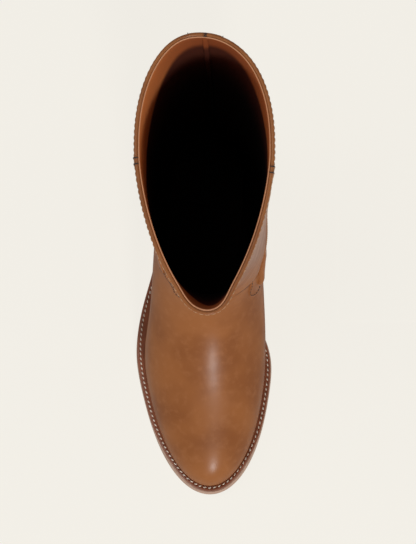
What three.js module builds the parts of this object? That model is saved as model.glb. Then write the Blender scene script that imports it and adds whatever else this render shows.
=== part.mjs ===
// A knee-high pull-on leather boot for the right foot, empty and standing on its sole.
// Millimetres, +Z up, toe towards -Y, inner side of the foot towards +X.
// The origin is the middle of the heel's ground face.
//
// Places on the boot are given by two numbers: "along", the distance forward from the back of the
// outsole, and the height above the floor. Every outline is worked out from the driving dimensions
// and two short tables: PLAN, the widths of the sole and of the foot above it, and SECTIONS, one row
// for each closed section of the upper from the sole's edge to the collar.
import * as THREE from "three";
import { mergeVertices } from "three/addons/utils/BufferGeometryUtils.js";

// Driving dimensions
const SOLE_LENGTH = 275; // outsole, back of the heel to the tip of the toe
const BALL_WIDTH = 102; // outsole, across the ball of the foot
const HEEL_LIFT = 26; // floor to the outsole's underside at the heel seat
const TOE_SPRING = 12; // floor to the outsole's underside at the tip of the toe
const ANKLE_HEIGHT = 125; // floor to the ankle section
const COLLAR_HEIGHT = 405; // floor to the collar's edge

// Thicknesses and clearances
const OUTSOLE_THICK = 5;
const WELT_THICK = 3.2;
const INSOLE_THICK = 3;
const WALL = 2.4; // leather and lining together
const TOP_PIECE_THICK = 6; // the rubber lift under the heel
const GAP = 0.3; // between pieces that meet
const INSOLE_EASE = 1.3; // between the insole and the wall round it

// The sole's underside, along the foot
const ARCH_START = 40; // the heel seat ends and the shank begins to fall
const TREAD_START = 168; // the forefoot meets the floor
const TREAD_END = 200; // the toe begins to spring
const HEEL_RADIUS = 31; // round back of the sole
const TOE_DEPTH = 110; // length of the toe's half ellipse

// The heel
const HEEL_BREAST = 62; // along, its front face at the top
const HEEL_CENTRE = 33; // along, the origin
const BREAST_HOLLOW = 4; // how far the front face is scooped
const HEEL_TAPER = { back: 3.5, side: 1.6, breast: 2.5 }; // drawn in from seat to floor
const HEEL_INSET = 0.6; // behind the outsole's edge, all round

const TIP_LEAN = 14; // power that keeps the collar's lean near its two tips
const COLLAR_TIP_RADIUS = 14; // of the collar's front tip, seen from above

// Resolution
const COLUMNS = 28; // facets down each side of the foot
const SOLE_COLUMNS = 40; // facets down the outsole
const HEEL_FACETS = 14; // round each side of the heel
const SECTION_STEPS = 27; // rings between the sole's edge and the collar

// Widths of the foot in plan. at: in sole lengths. The rest are in ball widths: the outsole's half
// width, the centreline's shift to the inside, the welt's width, and the same half width and shift
// for the upper where it is widest.
const PLAN = [
  { at: 0.0, tread: 0.304, treadShift: 0.0, margin: 0.025, body: 0.302, bodyShift: 0.0 },
  { at: 0.11, tread: 0.306, treadShift: -0.005, margin: 0.026, body: 0.306, bodyShift: 0.0 },
  { at: 0.2, tread: 0.316, treadShift: -0.015, margin: 0.031, body: 0.327, bodyShift: 0.0 },
  { at: 0.31, tread: 0.32, treadShift: -0.048, margin: 0.046, body: 0.366, bodyShift: -0.003 },
  { at: 0.4, tread: 0.345, treadShift: -0.076, margin: 0.058, body: 0.397, bodyShift: -0.003 },
  { at: 0.49, tread: 0.412, treadShift: -0.08, margin: 0.061, body: 0.42, bodyShift: -0.006 },
  { at: 0.6, tread: 0.497, treadShift: -0.04, margin: 0.061, body: 0.446, bodyShift: -0.019 },
  { at: 0.72, tread: 0.5, treadShift: -0.016, margin: 0.061, body: 0.448, bodyShift: -0.013 },
  { at: 1.0, tread: 0.5, treadShift: 0.014, margin: 0.061, body: 0.44, bodyShift: 0.014 },
];

// Closed sections of the upper's outside. up: 0 on the sole, 1 at the ankle, 2 at the collar.
// back, front: the section's ends, in sole lengths. body: 0 follows the sole's edge, 1 the upper's
// widest outline. leg: 0 has the foot's widths, 1 the oval's.
const SECTIONS = [
  { up: 0.0, back: 0.0127, front: 0.969, body: 0.0, leg: 0.0 },
  { up: 0.06, back: 0.0055, front: 0.973, body: 0.55, leg: 0.0 },
  { up: 0.165, back: 0.002, front: 0.96, body: 0.9, leg: 0.0 },
  { up: 0.257, back: 0.001, front: 0.923, body: 1.0, leg: 0.05 },
  { up: 0.335, back: 0.004, front: 0.858, body: 1.0, leg: 0.12 },
  { up: 0.41, back: 0.0075, front: 0.771, body: 1.0, leg: 0.22 },
  { up: 0.495, back: 0.013, front: 0.676, body: 1.0, leg: 0.35 },
  { up: 0.597, back: 0.02, front: 0.593, body: 1.0, leg: 0.5 },
  { up: 0.71, back: 0.028, front: 0.527, body: 1.0, leg: 0.7 },
  { up: 0.845, back: 0.0345, front: 0.488, body: 1.0, leg: 0.88 },
  { up: 1.0, back: 0.037, front: 0.479, body: 1.0, leg: 1.0 },
  { up: 1.075, back: 0.0335, front: 0.474, body: 1.0, leg: 1.0 },
  { up: 1.2, back: 0.018, front: 0.471, body: 1.0, leg: 1.0 },
  { up: 1.39, back: -0.011, front: 0.478, body: 1.0, leg: 1.0 },
  { up: 1.65, back: -0.04, front: 0.497, body: 1.0, leg: 1.0 },
  { up: 2.0, back: -0.058, front: 0.5236, body: 1.0, leg: 1.0 },
];

// The oval of each section. half: half width, in ball widths. shift: its centreline to the inside,
// and rearLean, foreLean: how much more at its two tips, in ball widths. rear, fore: lengths of its
// rounded ends, in sole lengths. rearFull, foreFull: 2 is an ellipse, more is fuller, less is
// keener.
const OVALS = [
  {
    up: 0.0, half: 0.4, shift: 0, rearLean: 0, foreLean: 0,
    rear: 0.102, rearFull: 2, fore: 0.37, foreFull: 2,
  },
  {
    up: 0.25, half: 0.4, shift: 0, rearLean: 0, foreLean: 0,
    rear: 0.113, rearFull: 2, fore: 0.38, foreFull: 2,
  },
  {
    up: 0.5, half: 0.4, shift: 0, rearLean: 0, foreLean: 0,
    rear: 0.135, rearFull: 2, fore: 0.32, foreFull: 2,
  },
  {
    up: 0.75, half: 0.39, shift: 0.016, rearLean: 0, foreLean: 0,
    rear: 0.163, rearFull: 2, fore: 0.235, foreFull: 2,
  },
  {
    up: 1.0, half: 0.385, shift: 0.02, rearLean: 0, foreLean: 0,
    rear: 0.18, rearFull: 2, fore: 0.182, foreFull: 2,
  },
  {
    up: 1.2, half: 0.38, shift: 0.006, rearLean: 0, foreLean: 0,
    rear: 0.187, rearFull: 2, fore: 0.195, foreFull: 2,
  },
  {
    up: 1.4, half: 0.383, shift: -0.002, rearLean: 0, foreLean: 0.004,
    rear: 0.2, rearFull: 2, fore: 0.235, foreFull: 2,
  },
  {
    up: 1.65, half: 0.388, shift: -0.01, rearLean: -0.01, foreLean: 0.014,
    rear: 0.217, rearFull: 2.05, fore: 0.3, foreFull: 1.85,
  },
  {
    up: 2.0, half: 0.39, shift: -0.02, rearLean: -0.026, foreLean: 0.016,
    rear: 0.233, rearFull: 2.16, fore: 0.334, foreFull: 1.6,
  },
];

const { clamp, lerp, smoothstep } = THREE.MathUtils;

// A natural cubic spline through (knots, values), as a function of the knot's own coordinate.
function splineThrough(knots, values) {
  const last = knots.length - 1;
  const step = knots.slice(1).map((k, i) => k - knots[i]);
  const slope = step.map((h, i) => (values[i + 1] - values[i]) / h);
  const bend = new Array(last + 1).fill(0); // second derivatives, zero at both ends
  const weight = new Array(last + 1).fill(0);
  for (let i = 1; i < last; i++) {
    const pivot = 2 * (step[i - 1] + step[i]) - step[i - 1] * weight[i - 1];
    weight[i] = step[i] / pivot;
    bend[i] = (6 * (slope[i] - slope[i - 1]) - step[i - 1] * bend[i - 1]) / pivot;
  }
  for (let i = last - 1; i > 0; i--) bend[i] -= weight[i] * bend[i + 1];
  return (at) => {
    let i = 0;
    while (i < last - 1 && at > knots[i + 1]) i++;
    const h = step[i];
    const right = at - knots[i];
    const left = knots[i + 1] - at;
    return (
      (bend[i] * left ** 3 + bend[i + 1] * right ** 3) / (6 * h) +
      (values[i] / h - (bend[i] * h) / 6) * left +
      (values[i + 1] / h - (bend[i + 1] * h) / 6) * right
    );
  };
}

// Turns a table into one smooth function that gives a whole row at any knot coordinate.
function smoothTable(rows, knots) {
  const names = Object.keys(rows[0]);
  const curves = names.map((name) => splineThrough(knots, rows.map((row) => row[name])));
  return (at) => Object.fromEntries(names.map((name, i) => [name, curves[i](at)]));
}

// Height of the outsole's underside: heel seat, arch, flat tread, toe spring.
function treadHeight(along) {
  const fall = clamp((along - ARCH_START) / (TREAD_START - ARCH_START), 0, 1);
  const spring = Math.max(0, (along - TREAD_END) / (SOLE_LENGTH - TREAD_END));
  return (HEEL_LIFT * (1 + Math.cos(Math.PI * fall))) / 2 + TOE_SPRING * spring ** 2;
}

const soleTop = (along) => treadHeight(along) + OUTSOLE_THICK;

// How wide a rounded end is, from 0 at its tip to 1 at "depth" behind the tip.
function roundedEnd(fromTip, depth, full = 2) {
  const inward = clamp(1 - fromTip / depth, 0, 1);
  return (1 - inward ** full) ** (1 / full);
}

const point = (across, along, height) => new THREE.Vector3(across, HEEL_CENTRE - along, height);

const widths = smoothTable(PLAN, PLAN.map((row) => row.at));

// Half width and centreline of the outsole, in millimetres.
function soleOutline(along) {
  const plan = widths(along / SOLE_LENGTH);
  const ends =
    roundedEnd(along, HEEL_RADIUS) * roundedEnd(SOLE_LENGTH - along, TOE_DEPTH);
  return { half: plan.tread * BALL_WIDTH * ends, centre: plan.treadShift * BALL_WIDTH };
}

// Where a turn of 0 (heel) to PI or -PI (toe) falls on a stretch of the foot.
const alongAt = (turn, back, front) => back + ((front - back) * (1 - Math.cos(turn))) / 2;

function heightOf(up, along) {
  if (up > 1) return lerp(ANKLE_HEIGHT, COLLAR_HEIGHT, up - 1);
  return lerp(soleTop(along) + GAP, ANKLE_HEIGHT, up);
}

const ovalAt = smoothTable(OVALS, OVALS.map((row) => row.up));

const sectionAt = smoothTable(
  SECTIONS.map(({ back, front, ...shape }) => ({
    back: back * SOLE_LENGTH,
    front: front * SOLE_LENGTH,
    backHeight: heightOf(shape.up, back * SOLE_LENGTH),
    frontHeight: heightOf(shape.up, front * SOLE_LENGTH),
    ...shape,
  })),
  SECTIONS.map((row, i) => i),
);

// The upper's outside. level: 0 at the sole to the last row of SECTIONS at the collar.
// turn: 0 at the heel, towards PI round the inner side and -PI round the outer side.
function upperOutside(level, turn) {
  const { up, back, front, backHeight, frontHeight, body, leg } = sectionAt(level);
  const oval = ovalAt(up);
  const along = alongAt(turn, back, front);
  const share = (along - back) / (front - back);
  const plan = widths(clamp(along / SOLE_LENGTH, 0, 1));
  const footHalf = lerp(plan.tread - plan.margin, plan.body, body);
  const footShift = lerp(plan.treadShift, plan.bodyShift, body);
  const rearEnd = roundedEnd(along - back, oval.rear * SOLE_LENGTH, oval.rearFull);
  const foreEnd = roundedEnd(front - along, oval.fore * SOLE_LENGTH, oval.foreFull);
  const keenHalf = lerp(footHalf, oval.half, leg) * BALL_WIDTH * foreEnd;
  const tipRadius = Math.max(0.01, COLLAR_TIP_RADIUS * smoothstep(up, 1.5, 2));
  const tipHalf = tipRadius * roundedEnd(front - along, tipRadius);
  const half = rearEnd * Math.hypot(keenHalf ** 4, tipHalf ** 4) ** 0.25;
  const ovalShift =
    oval.shift + oval.rearLean * (1 - share) ** TIP_LEAN + oval.foreLean * share ** TIP_LEAN;
  const centre = lerp(footShift, ovalShift, leg) * BALL_WIDTH;
  const chord = lerp(soleTop(back), soleTop(front), share);
  return point(
    centre + Math.sign(Math.sin(turn)) * half,
    along,
    lerp(backHeight, frontHeight, share) + (1 - leg) * (soleTop(along) - chord),
  );
}

// A point the given depth inside the upper's outside. The wall's two edges are cut level.
function upperInside(level, turn, depth) {
  const step = 1e-3;
  const top = SECTIONS.length - 1;
  const low = Math.max(0, level - step);
  const high = Math.min(top, level + step);
  const rise = upperOutside(high, turn).sub(upperOutside(low, turn));
  const round = upperOutside(level, turn + step).sub(upperOutside(level, turn - step));
  const outward = rise.cross(round);
  if (level === 0 || level === top) outward.z = 0;
  return upperOutside(level, turn).addScaledVector(outward.normalize(), -depth);
}

// Joins a grid of points, each row closed on itself, into one closed mesh. With ring set, the last
// row joins the first. With caps set, each end row is closed by a fan. With neither, the end rows
// have shrunk to an edge.
function closedMesh(rows, { ring = false, caps = false } = {}) {
  const count = rows[0].length;
  const corners = [];
  const face = (...points) => corners.push(...points);
  const pairs = rows.slice(1).map((row, i) => [rows[i], row]);
  if (ring) pairs.push([rows.at(-1), rows[0]]);
  for (const [a, b] of pairs) {
    for (let i = 0; i < count; i++) {
      const j = (i + 1) % count;
      face(a[i], a[j], b[j]);
      face(a[i], b[j], b[i]);
    }
  }
  if (caps) {
    for (const [row, turned] of [[rows[0], true], [rows.at(-1), false]]) {
      const middle = row.reduce((sum, p) => sum.add(p), new THREE.Vector3()).divideScalar(count);
      for (let i = 0; i < count; i++) {
        const j = (i + 1) % count;
        if (turned) face(middle, row[j], row[i]);
        else face(middle, row[i], row[j]);
      }
    }
  }
  const merged = mergeVertices(new THREE.BufferGeometry().setFromPoints(corners), 1e-3);
  const index = [];
  for (let i = 0; i < merged.index.count; i += 3) {
    const [a, b, c] = [0, 1, 2].map((k) => merged.index.getX(i + k));
    if (a !== b && b !== c && c !== a) index.push(a, b, c);
  }
  merged.setIndex(index);
  merged.computeVertexNormals();
  return merged;
}

// Turns all the way round the boot, from the toe by the outer side to the heel and back.
const TURNS = Array.from({ length: 2 * COLUMNS }, (_, i) => -Math.PI + (i * Math.PI) / COLUMNS);

// The hollow upper: vamp, quarters and shaft in one wall, open at the collar and underneath.
function upperWall() {
  const top = SECTIONS.length - 1;
  const levels = Array.from({ length: SECTION_STEPS + 1 }, (_, i) => (top * i) / SECTION_STEPS);
  const outside = levels.map((level) => TURNS.map((turn) => upperOutside(level, turn)));
  const inside = levels.map((level) => TURNS.map((turn) => upperInside(level, turn, WALL)));
  return closedMesh([...outside.reverse(), ...inside], { ring: true });
}

// A point the given depth inside the upper's outside and the given height over the sole.
function besideWall(turn, depth, lift) {
  const over = (p) => p.z - soleTop(HEEL_CENTRE - p.y) - GAP;
  let low = 0;
  let high = 4;
  for (let i = 0; i < 30; i++) {
    const middle = (low + high) / 2;
    if (over(upperInside(middle, turn, depth)) < lift) low = middle;
    else high = middle;
  }
  const found = upperInside(low, turn, depth);
  found.z = soleTop(HEEL_CENTRE - found.y) + GAP + lift;
  return found;
}

// A level strip between the upper and the sole's edge, all round the foot.
function weltStrip() {
  const edge = (turn, lift) => {
    const along = alongAt(turn, 0, SOLE_LENGTH);
    const { half, centre } = soleOutline(along);
    return point(centre + Math.sign(Math.sin(turn)) * half, along, soleTop(along) + GAP + lift);
  };
  const section = (turn) => [
    besideWall(turn, -GAP, 0),
    edge(turn, 0),
    edge(turn, WELT_THICK),
    besideWall(turn, -GAP, WELT_THICK),
  ];
  return closedMesh(TURNS.map(section), { ring: true });
}

// The insole: a slab inside the upper, on top of the outsole.
function insoleSlab() {
  const up = new THREE.Vector3(0, 0, INSOLE_THICK);
  const sections = Array.from({ length: COLUMNS + 1 }, (_, i) => {
    const turn = (Math.PI * i) / COLUMNS;
    const outer = besideWall(-turn, WALL + INSOLE_EASE, 0);
    const inner = besideWall(turn, WALL + INSOLE_EASE, 0);
    return [outer, inner, inner.clone().add(up), outer.clone().add(up)];
  });
  return closedMesh(sections);
}

// The outsole: one curved slab with heel seat, arch, flat tread and toe spring.
function outsoleSlab() {
  const stations = Array.from({ length: SOLE_COLUMNS + 1 }, (_, i) =>
    alongAt((Math.PI * i) / SOLE_COLUMNS, 0, SOLE_LENGTH),
  );
  stations.push(TREAD_START, TREAD_END);
  stations.sort((a, b) => a - b);
  const sections = stations.map((along) => {
    const { half, centre } = soleOutline(along);
    const low = treadHeight(along);
    const high = low + OUTSOLE_THICK;
    return [
      point(centre - half, along, low),
      point(centre + half, along, low),
      point(centre + half, along, high),
      point(centre - half, along, high),
    ];
  });
  return closedMesh(sections);
}

// The heel's outline at a height, as [across, along] pairs: round at the back, scooped in front.
function heelOutline(height) {
  const drawn = 1 - height / HEEL_LIFT;
  const back = HEEL_INSET + HEEL_TAPER.back * drawn;
  const breast = HEEL_BREAST - HEEL_TAPER.breast * drawn;
  const inset = HEEL_INSET + HEEL_TAPER.side * drawn;
  const wall = (side, i) => {
    const share = 1 - Math.cos(((Math.PI / 2) * i) / HEEL_FACETS);
    const { half, centre } = soleOutline(share * HEEL_BREAST);
    const drawnHalf = half - inset * roundedEnd(share * HEEL_BREAST, HEEL_RADIUS);
    return [centre + side * Math.max(0, drawnHalf), back + (breast - back) * share];
  };
  const outline = [];
  for (let i = HEEL_FACETS; i > 0; i--) outline.push(wall(1, i));
  for (let i = 0; i <= HEEL_FACETS; i++) outline.push(wall(-1, i));
  const [outer] = wall(-1, HEEL_FACETS);
  const [inner] = wall(1, HEEL_FACETS);
  for (let i = 1; i < HEEL_FACETS; i++) {
    const share = i / HEEL_FACETS;
    const hollow = 4 * BREAST_HOLLOW * share * (1 - share);
    outline.push([lerp(outer, inner, share), breast - hollow]);
  }
  return outline;
}

// The heel's block, from its top piece to the outsole above it.
function heelBlock() {
  const bottom = TOP_PIECE_THICK + GAP;
  const low = heelOutline(bottom).map(([across, along]) => point(across, along, bottom));
  const high = heelOutline(HEEL_LIFT).map(([across, along]) =>
    point(across, along, treadHeight(along) - GAP),
  );
  return closedMesh([low, high], { caps: true });
}

// The flat lift that wears on the ground.
function heelTopPiece() {
  const rows = [0, TOP_PIECE_THICK].map((height) =>
    heelOutline(height).map(([across, along]) => point(across, along, height)),
  );
  return closedMesh(rows, { caps: true });
}

function finish(color, roughness) {
  return new THREE.MeshStandardMaterial({ color, roughness, metalness: 0 });
}

const PIECES = {
  upper: [upperWall(), finish("#94633f", 0.42)],
  insole: [insoleSlab(), finish("#8a5230", 0.6)],
  welt: [weltStrip(), finish("#66402a", 0.55)],
  outsole: [outsoleSlab(), finish("#ad9080", 0.6)],
  heel: [heelBlock(), finish("#6f432a", 0.5)],
  heel_top_piece: [heelTopPiece(), finish("#3a2c25", 0.8)],
};

const boot = new THREE.Group();
for (const [name, [geometry, material]] of Object.entries(PIECES)) {
  const mesh = new THREE.Mesh(geometry, material);
  mesh.name = name;
  boot.add(mesh);
}

export default boot;
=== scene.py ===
"""The looks of an empty knee-high leather boot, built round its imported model.

Sizes in the classes are millimetres. Meshes are metres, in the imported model's own frame: +Z up, the
toe towards -Y, the inner side of the foot towards +X, the origin in the middle of the heel's ground
face. "Along" is the distance forward from the back of the outsole. A point on the upper is given by
its "level", from the sole's edge to the collar, and its "turn", from the heel (0) round the inner
side (positive) or the outer side (negative) to the toe (half a circle).
"""

import logging
import math
from dataclasses import dataclass, field
from enum import Enum

import bmesh
import bpy
import numpy as np
from mathutils import Matrix, Vector
from mathutils.bvhtree import BVHTree


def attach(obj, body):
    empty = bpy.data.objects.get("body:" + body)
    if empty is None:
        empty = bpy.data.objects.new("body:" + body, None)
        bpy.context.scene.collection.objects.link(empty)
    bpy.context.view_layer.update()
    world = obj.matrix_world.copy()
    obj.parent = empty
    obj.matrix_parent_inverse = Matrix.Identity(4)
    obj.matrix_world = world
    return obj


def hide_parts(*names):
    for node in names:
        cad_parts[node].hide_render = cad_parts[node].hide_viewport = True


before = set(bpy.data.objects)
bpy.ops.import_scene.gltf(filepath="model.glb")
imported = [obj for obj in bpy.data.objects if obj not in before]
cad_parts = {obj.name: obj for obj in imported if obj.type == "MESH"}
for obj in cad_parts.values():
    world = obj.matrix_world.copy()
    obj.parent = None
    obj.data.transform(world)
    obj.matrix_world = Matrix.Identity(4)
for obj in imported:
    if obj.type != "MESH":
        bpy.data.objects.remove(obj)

LOG = logging.getLogger("boot")
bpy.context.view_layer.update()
MM = 0.001
Array = np.ndarray


# Colours and nodes


def linear(code: str) -> tuple[float, float, float, float]:
    """Turn an sRGB hex colour into linear RGBA.

    Args:
        code: The colour as "#rrggbb".

    Returns:
        Linear red, green, blue and an alpha of one.
    """
    parts = [int(code[i : i + 2], 16) / 255 for i in (1, 3, 5)]
    light = [c / 12.92 if c <= 0.04045 else ((c + 0.055) / 1.055) ** 2.4 for c in parts]
    return (*light, 1.0)


def add_node(
    tree: bpy.types.NodeTree,
    kind: str,
    inputs: dict | None = None,
    **settings: object,
) -> bpy.types.Node:
    """Add a node, set its properties, and fill or link its inputs.

    Args:
        tree: The node tree to add to.
        kind: The node's type name.
        inputs: Values or output sockets by the input's name or number.
        settings: Properties of the node itself.

    Returns:
        The new node.
    """
    node = tree.nodes.new(kind)
    for name, value in settings.items():
        setattr(node, name, value)
    for name, value in (inputs or {}).items():
        if isinstance(value, bpy.types.NodeSocket):
            tree.links.new(value, node.inputs[name])
        else:
            node.inputs[name].default_value = value
    return node


# Each finer octave of a pattern counts this much. The patterns' sizes are in millimetres.
FINER = 0.55


class Finish:
    """A finish on the boot or under it, each kind with patterns of its own."""

    name: str

    def inputs(self, tree: bpy.types.NodeTree) -> dict:
        """Lay out the patterns.

        Args:
            tree: The material's tree.

        Returns:
            The shader's inputs, as values and sockets.
        """
        raise NotImplementedError

    def build(self) -> bpy.types.Material:
        """Make the finish's material.

        Returns:
            The material.
        """
        material = bpy.data.materials.new(self.name)
        material.use_nodes = True
        tree = material.node_tree
        tree.nodes.clear()
        shader = add_node(tree, "ShaderNodeBsdfPrincipled", self.inputs(tree))
        add_node(tree, "ShaderNodeOutputMaterial", {"Surface": shader.outputs[0]})
        return material


@dataclass(frozen=True)
class PolishedCalf(Finish):
    """Aniline-dyed calf, polished: cloudy tan with fine pores and a soft waxy shine."""

    name: str = "polished_calf"
    colour: str = "#a16539"
    deep: str = "#844d2a"
    pale: str = "#ad7248"
    # The colour of the painted shade in the creases.
    crease_shade: str = "#3b1d10"
    roughness: float = 0.32
    specular: float = 0.19
    coat: float = 0.03

    def inputs(self, tree: bpy.types.NodeTree) -> dict:
        """Lay out the leather's patterns.

        Args:
            tree: The material's tree.

        Returns:
            The shader's inputs.
        """
        coords = add_node(tree, "ShaderNodeTexCoord").outputs["Object"]
        patterns = (
            # The hide took its dye in clouds about 40 mm wide and mottles about 6 mm wide.
            ("cloud", 42, 2, (0.38, 0.66), (0.0, 0.6)),
            ("mottle", 6, 4, (0.45, 0.75), (0.0, 0.4)),
            # The polish lies in patches about 15 mm wide, some duller than others.
            ("polish", 15, 3, (0.3, 0.7), (self.roughness - 0.03, self.roughness + 0.06)),
        )
        shares = {}
        for pattern, size, octaves, span, ends in patterns:
            noise = add_node(
                tree,
                "ShaderNodeTexNoise",
                {"Vector": coords, "Scale": 1 / (size * MM), "Detail": octaves, "Roughness": FINER},
            )
            shares[pattern] = add_node(
                tree,
                "ShaderNodeMapRange",
                {
                    "Value": noise.outputs["Fac"],
                    "From Min": span[0],
                    "From Max": span[1],
                    "To Min": ends[0],
                    "To Max": ends[1],
                },
                interpolation_type="SMOOTHSTEP",
            ).outputs["Result"]
        # Painted shade darkens the creases, which the mesh marks with an attribute.
        mark = add_node(tree, "ShaderNodeAttribute", attribute_name="crease_shade")
        shares["crease_shade"] = mark.outputs["Fac"]
        colour = linear(self.colour)
        for pattern, tint in (("cloud", self.deep), ("mottle", self.pale), ("crease_shade", self.crease_shade)):
            colour = add_node(
                tree,
                "ShaderNodeMix",
                {"Factor": shares[pattern], 6: colour, 7: linear(tint)},
                data_type="RGBA",
            ).outputs[2]
        # Pores are about 0.2 mm apart on the hide, and drawn at 0.9 mm so that they show. Over
        # them lies creping about 3.5 mm wide, drawn out up the leg.
        below = {}
        for size, octaves, stretch, depth, strength in (
            (0.9, 2, 1.0, 0.05, 0.35),
            (3.5, 3, 1.6, 0.12, 0.22),
        ):
            place = add_node(
                tree, "ShaderNodeMapping", {"Vector": coords, "Scale": (1, 1, 1 / stretch)}
            )
            noise = add_node(
                tree,
                "ShaderNodeTexNoise",
                {
                    "Vector": place.outputs[0],
                    "Scale": 1 / (size * MM),
                    "Detail": octaves,
                    "Roughness": FINER,
                },
            )
            relief = add_node(
                tree,
                "ShaderNodeBump",
                {
                    "Height": noise.outputs["Fac"],
                    "Distance": depth * MM,
                    "Strength": strength,
                    **below,
                },
            )
            below = {"Normal": relief.outputs["Normal"]}
        return {
            "Base Color": colour,
            "Roughness": shares["polish"],
            "Specular IOR Level": self.specular,
            "Coat Weight": self.coat,
            "Coat Roughness": 0.2,
            **below,
        }


@dataclass(frozen=True)
class LiningLeather(Finish):
    """Vegetable-tanned lining, orange-brown, paler in pools of painted light and darkened by painted
    shade to nearly black further down.

    Attributes:
        lit_depth: How far below the collar the painted light reaches.
        deeper: How much further down the painted light reaches at the spots.
        spots: The middles of the pools of painted light, as places in the model's X and Y.
        shade_line: Where the painted shade begins, from the lit depth.
        dark_line: Where the painted shade turns nearly black, from the lit depth.
        edge_line: Where the pale top of the rolled edge begins, from the collar: the cut edge's own
            paleness with a painted highlight.
    """

    name: str = "lining_leather"
    # edge is the cut edge's own pale colour together with a painted highlight on the rolled top.
    edge: str = "#cf956f"
    # lit is the colour of the painted light; shaded and dark are the colours of the painted shade.
    lit: str = "#f29350"
    colour: str = "#8f4a24"
    shaded: str = "#4a1f10"
    dark: str = "#1c0d09"
    collar: float = 405.0
    lit_depth: float = 25.0
    deeper: float = 84.0
    spots: tuple[tuple[float, float], ...] = ((-66.0, -14.0), (-62.0, -84.0), (84.0, -8.0))
    spot_radii: tuple[float, float] = (20.0, 92.0)
    shade_line: tuple[float, float] = (-8.0, 9.0)
    dark_line: tuple[float, float] = (-110.0, -10.0)
    edge_line: tuple[float, float] = (-0.65, -0.4)

    def inputs(self, tree: bpy.types.NodeTree) -> dict:
        """Lay out the lining's patterns.

        Args:
            tree: The material's tree.

        Returns:
            The shader's inputs.
        """
        coords = add_node(tree, "ShaderNodeTexCoord").outputs["Object"]
        height = add_node(tree, "ShaderNodeSeparateXYZ", {0: coords}).outputs["Z"]
        # Painted light: near three spots on the sides the lining is paler, and its painted shade
        # starts further down.
        level = add_node(
            tree, "ShaderNodeVectorMath", {0: coords, 1: (1, 1, 0)}, operation="MULTIPLY"
        )
        near = 0.0
        for across, back in self.spots:
            away = add_node(
                tree,
                "ShaderNodeVectorMath",
                {0: level.outputs[0], 1: (across * MM, back * MM, 0.0)},
                operation="DISTANCE",
            )
            share = add_node(
                tree,
                "ShaderNodeMapRange",
                {
                    "Value": away.outputs["Value"],
                    "From Min": self.spot_radii[0] * MM,
                    "From Max": self.spot_radii[1] * MM,
                    "To Min": 1.0,
                    "To Max": 0.0,
                },
                interpolation_type="SMOOTHSTEP",
            )
            near = add_node(
                tree,
                "ShaderNodeMath",
                {0: share.outputs["Result"], 1: near},
                operation="MAXIMUM",
            ).outputs[0]
        sink = add_node(
            tree,
            "ShaderNodeMath",
            {0: near, 1: self.deeper * MM, 2: height},
            operation="MULTIPLY_ADD",
        ).outputs[0]
        colour = add_node(
            tree,
            "ShaderNodeMix",
            {"Factor": near, 6: linear(self.colour), 7: linear(self.lit)},
            data_type="RGBA",
        ).outputs[2]
        lit = self.collar - self.lit_depth
        for value, middle, span, ends, tint in (
            # Painted shade: darker, then nearly black, going down from the lit depth.
            (sink, lit, self.shade_line, (1.0, 0.0), self.shaded),
            (sink, lit, self.dark_line, (1.0, 0.0), self.dark),
            # The top of the rolled edge is paler: the cut edge's own colour and a painted highlight.
            (height, self.collar, self.edge_line, (0.0, 1.0), self.edge),
        ):
            share = add_node(
                tree,
                "ShaderNodeMapRange",
                {
                    "Value": value,
                    "From Min": (middle + span[0]) * MM,
                    "From Max": (middle + span[1]) * MM,
                    "To Min": ends[0],
                    "To Max": ends[1],
                },
                interpolation_type="SMOOTHSTEP",
            )
            colour = add_node(
                tree,
                "ShaderNodeMix",
                {"Factor": share.outputs["Result"], 6: colour, 7: linear(tint)},
                data_type="RGBA",
            ).outputs[2]
        # Split-side nap, about 0.5 mm on the hide and drawn at 1.2 mm.
        nap = add_node(
            tree,
            "ShaderNodeTexNoise",
            {"Vector": coords, "Scale": 1 / (1.2 * MM), "Detail": 3, "Roughness": FINER},
        )
        relief = add_node(
            tree,
            "ShaderNodeBump",
            {"Height": nap.outputs["Fac"], "Distance": 0.06 * MM, "Strength": 0.4},
        )
        return {
            "Base Color": colour,
            "Roughness": 0.75,
            "Specular IOR Level": 0.25,
            "Normal": relief.outputs["Normal"],
        }


@dataclass(frozen=True)
class WaxedEdgeLeather(Finish):
    """Bark-tanned sole leather with a stained and waxed edge: layered fibres, low sheen."""

    name: str
    colour: str
    deep: str
    roughness: float = 0.5
    layers: float = 1.1

    def inputs(self, tree: bpy.types.NodeTree) -> dict:
        """Lay out the leather's patterns.

        Args:
            tree: The material's tree.

        Returns:
            The shader's inputs.
        """
        coords = add_node(tree, "ShaderNodeTexCoord").outputs["Object"]
        patterns = (
            # Fibre layers run level through the hide, so they show as lines along a cut edge.
            (self.layers, 9.0, (0.3, 0.8), 0.7),
            # The stain took unevenly, in blotches about 14 mm wide.
            (14.0, 1.0, (0.4, 0.75), 0.45),
        )
        colour = linear(self.colour)
        heights = []
        for size, run, span, most in patterns:
            place = add_node(
                tree, "ShaderNodeMapping", {"Vector": coords, "Scale": (1 / run, 1 / run, 1)}
            )
            noise = add_node(
                tree,
                "ShaderNodeTexNoise",
                {
                    "Vector": place.outputs[0],
                    "Scale": 1 / (size * MM),
                    "Detail": 3,
                    "Roughness": FINER,
                },
            )
            heights.append(noise.outputs["Fac"])
            share = add_node(
                tree,
                "ShaderNodeMapRange",
                {
                    "Value": noise.outputs["Fac"],
                    "From Min": span[0],
                    "From Max": span[1],
                    "To Max": most,
                },
                interpolation_type="SMOOTHSTEP",
            )
            colour = add_node(
                tree,
                "ShaderNodeMix",
                {"Factor": share.outputs["Result"], 6: colour, 7: linear(self.deep)},
                data_type="RGBA",
            ).outputs[2]
        relief = add_node(
            tree,
            "ShaderNodeBump",
            {"Height": heights[0], "Distance": 0.12 * MM, "Strength": 0.4},
        )
        return {
            "Base Color": colour,
            "Roughness": self.roughness,
            "Coat Weight": 0.1,
            "Normal": relief.outputs["Normal"],
        }


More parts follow.
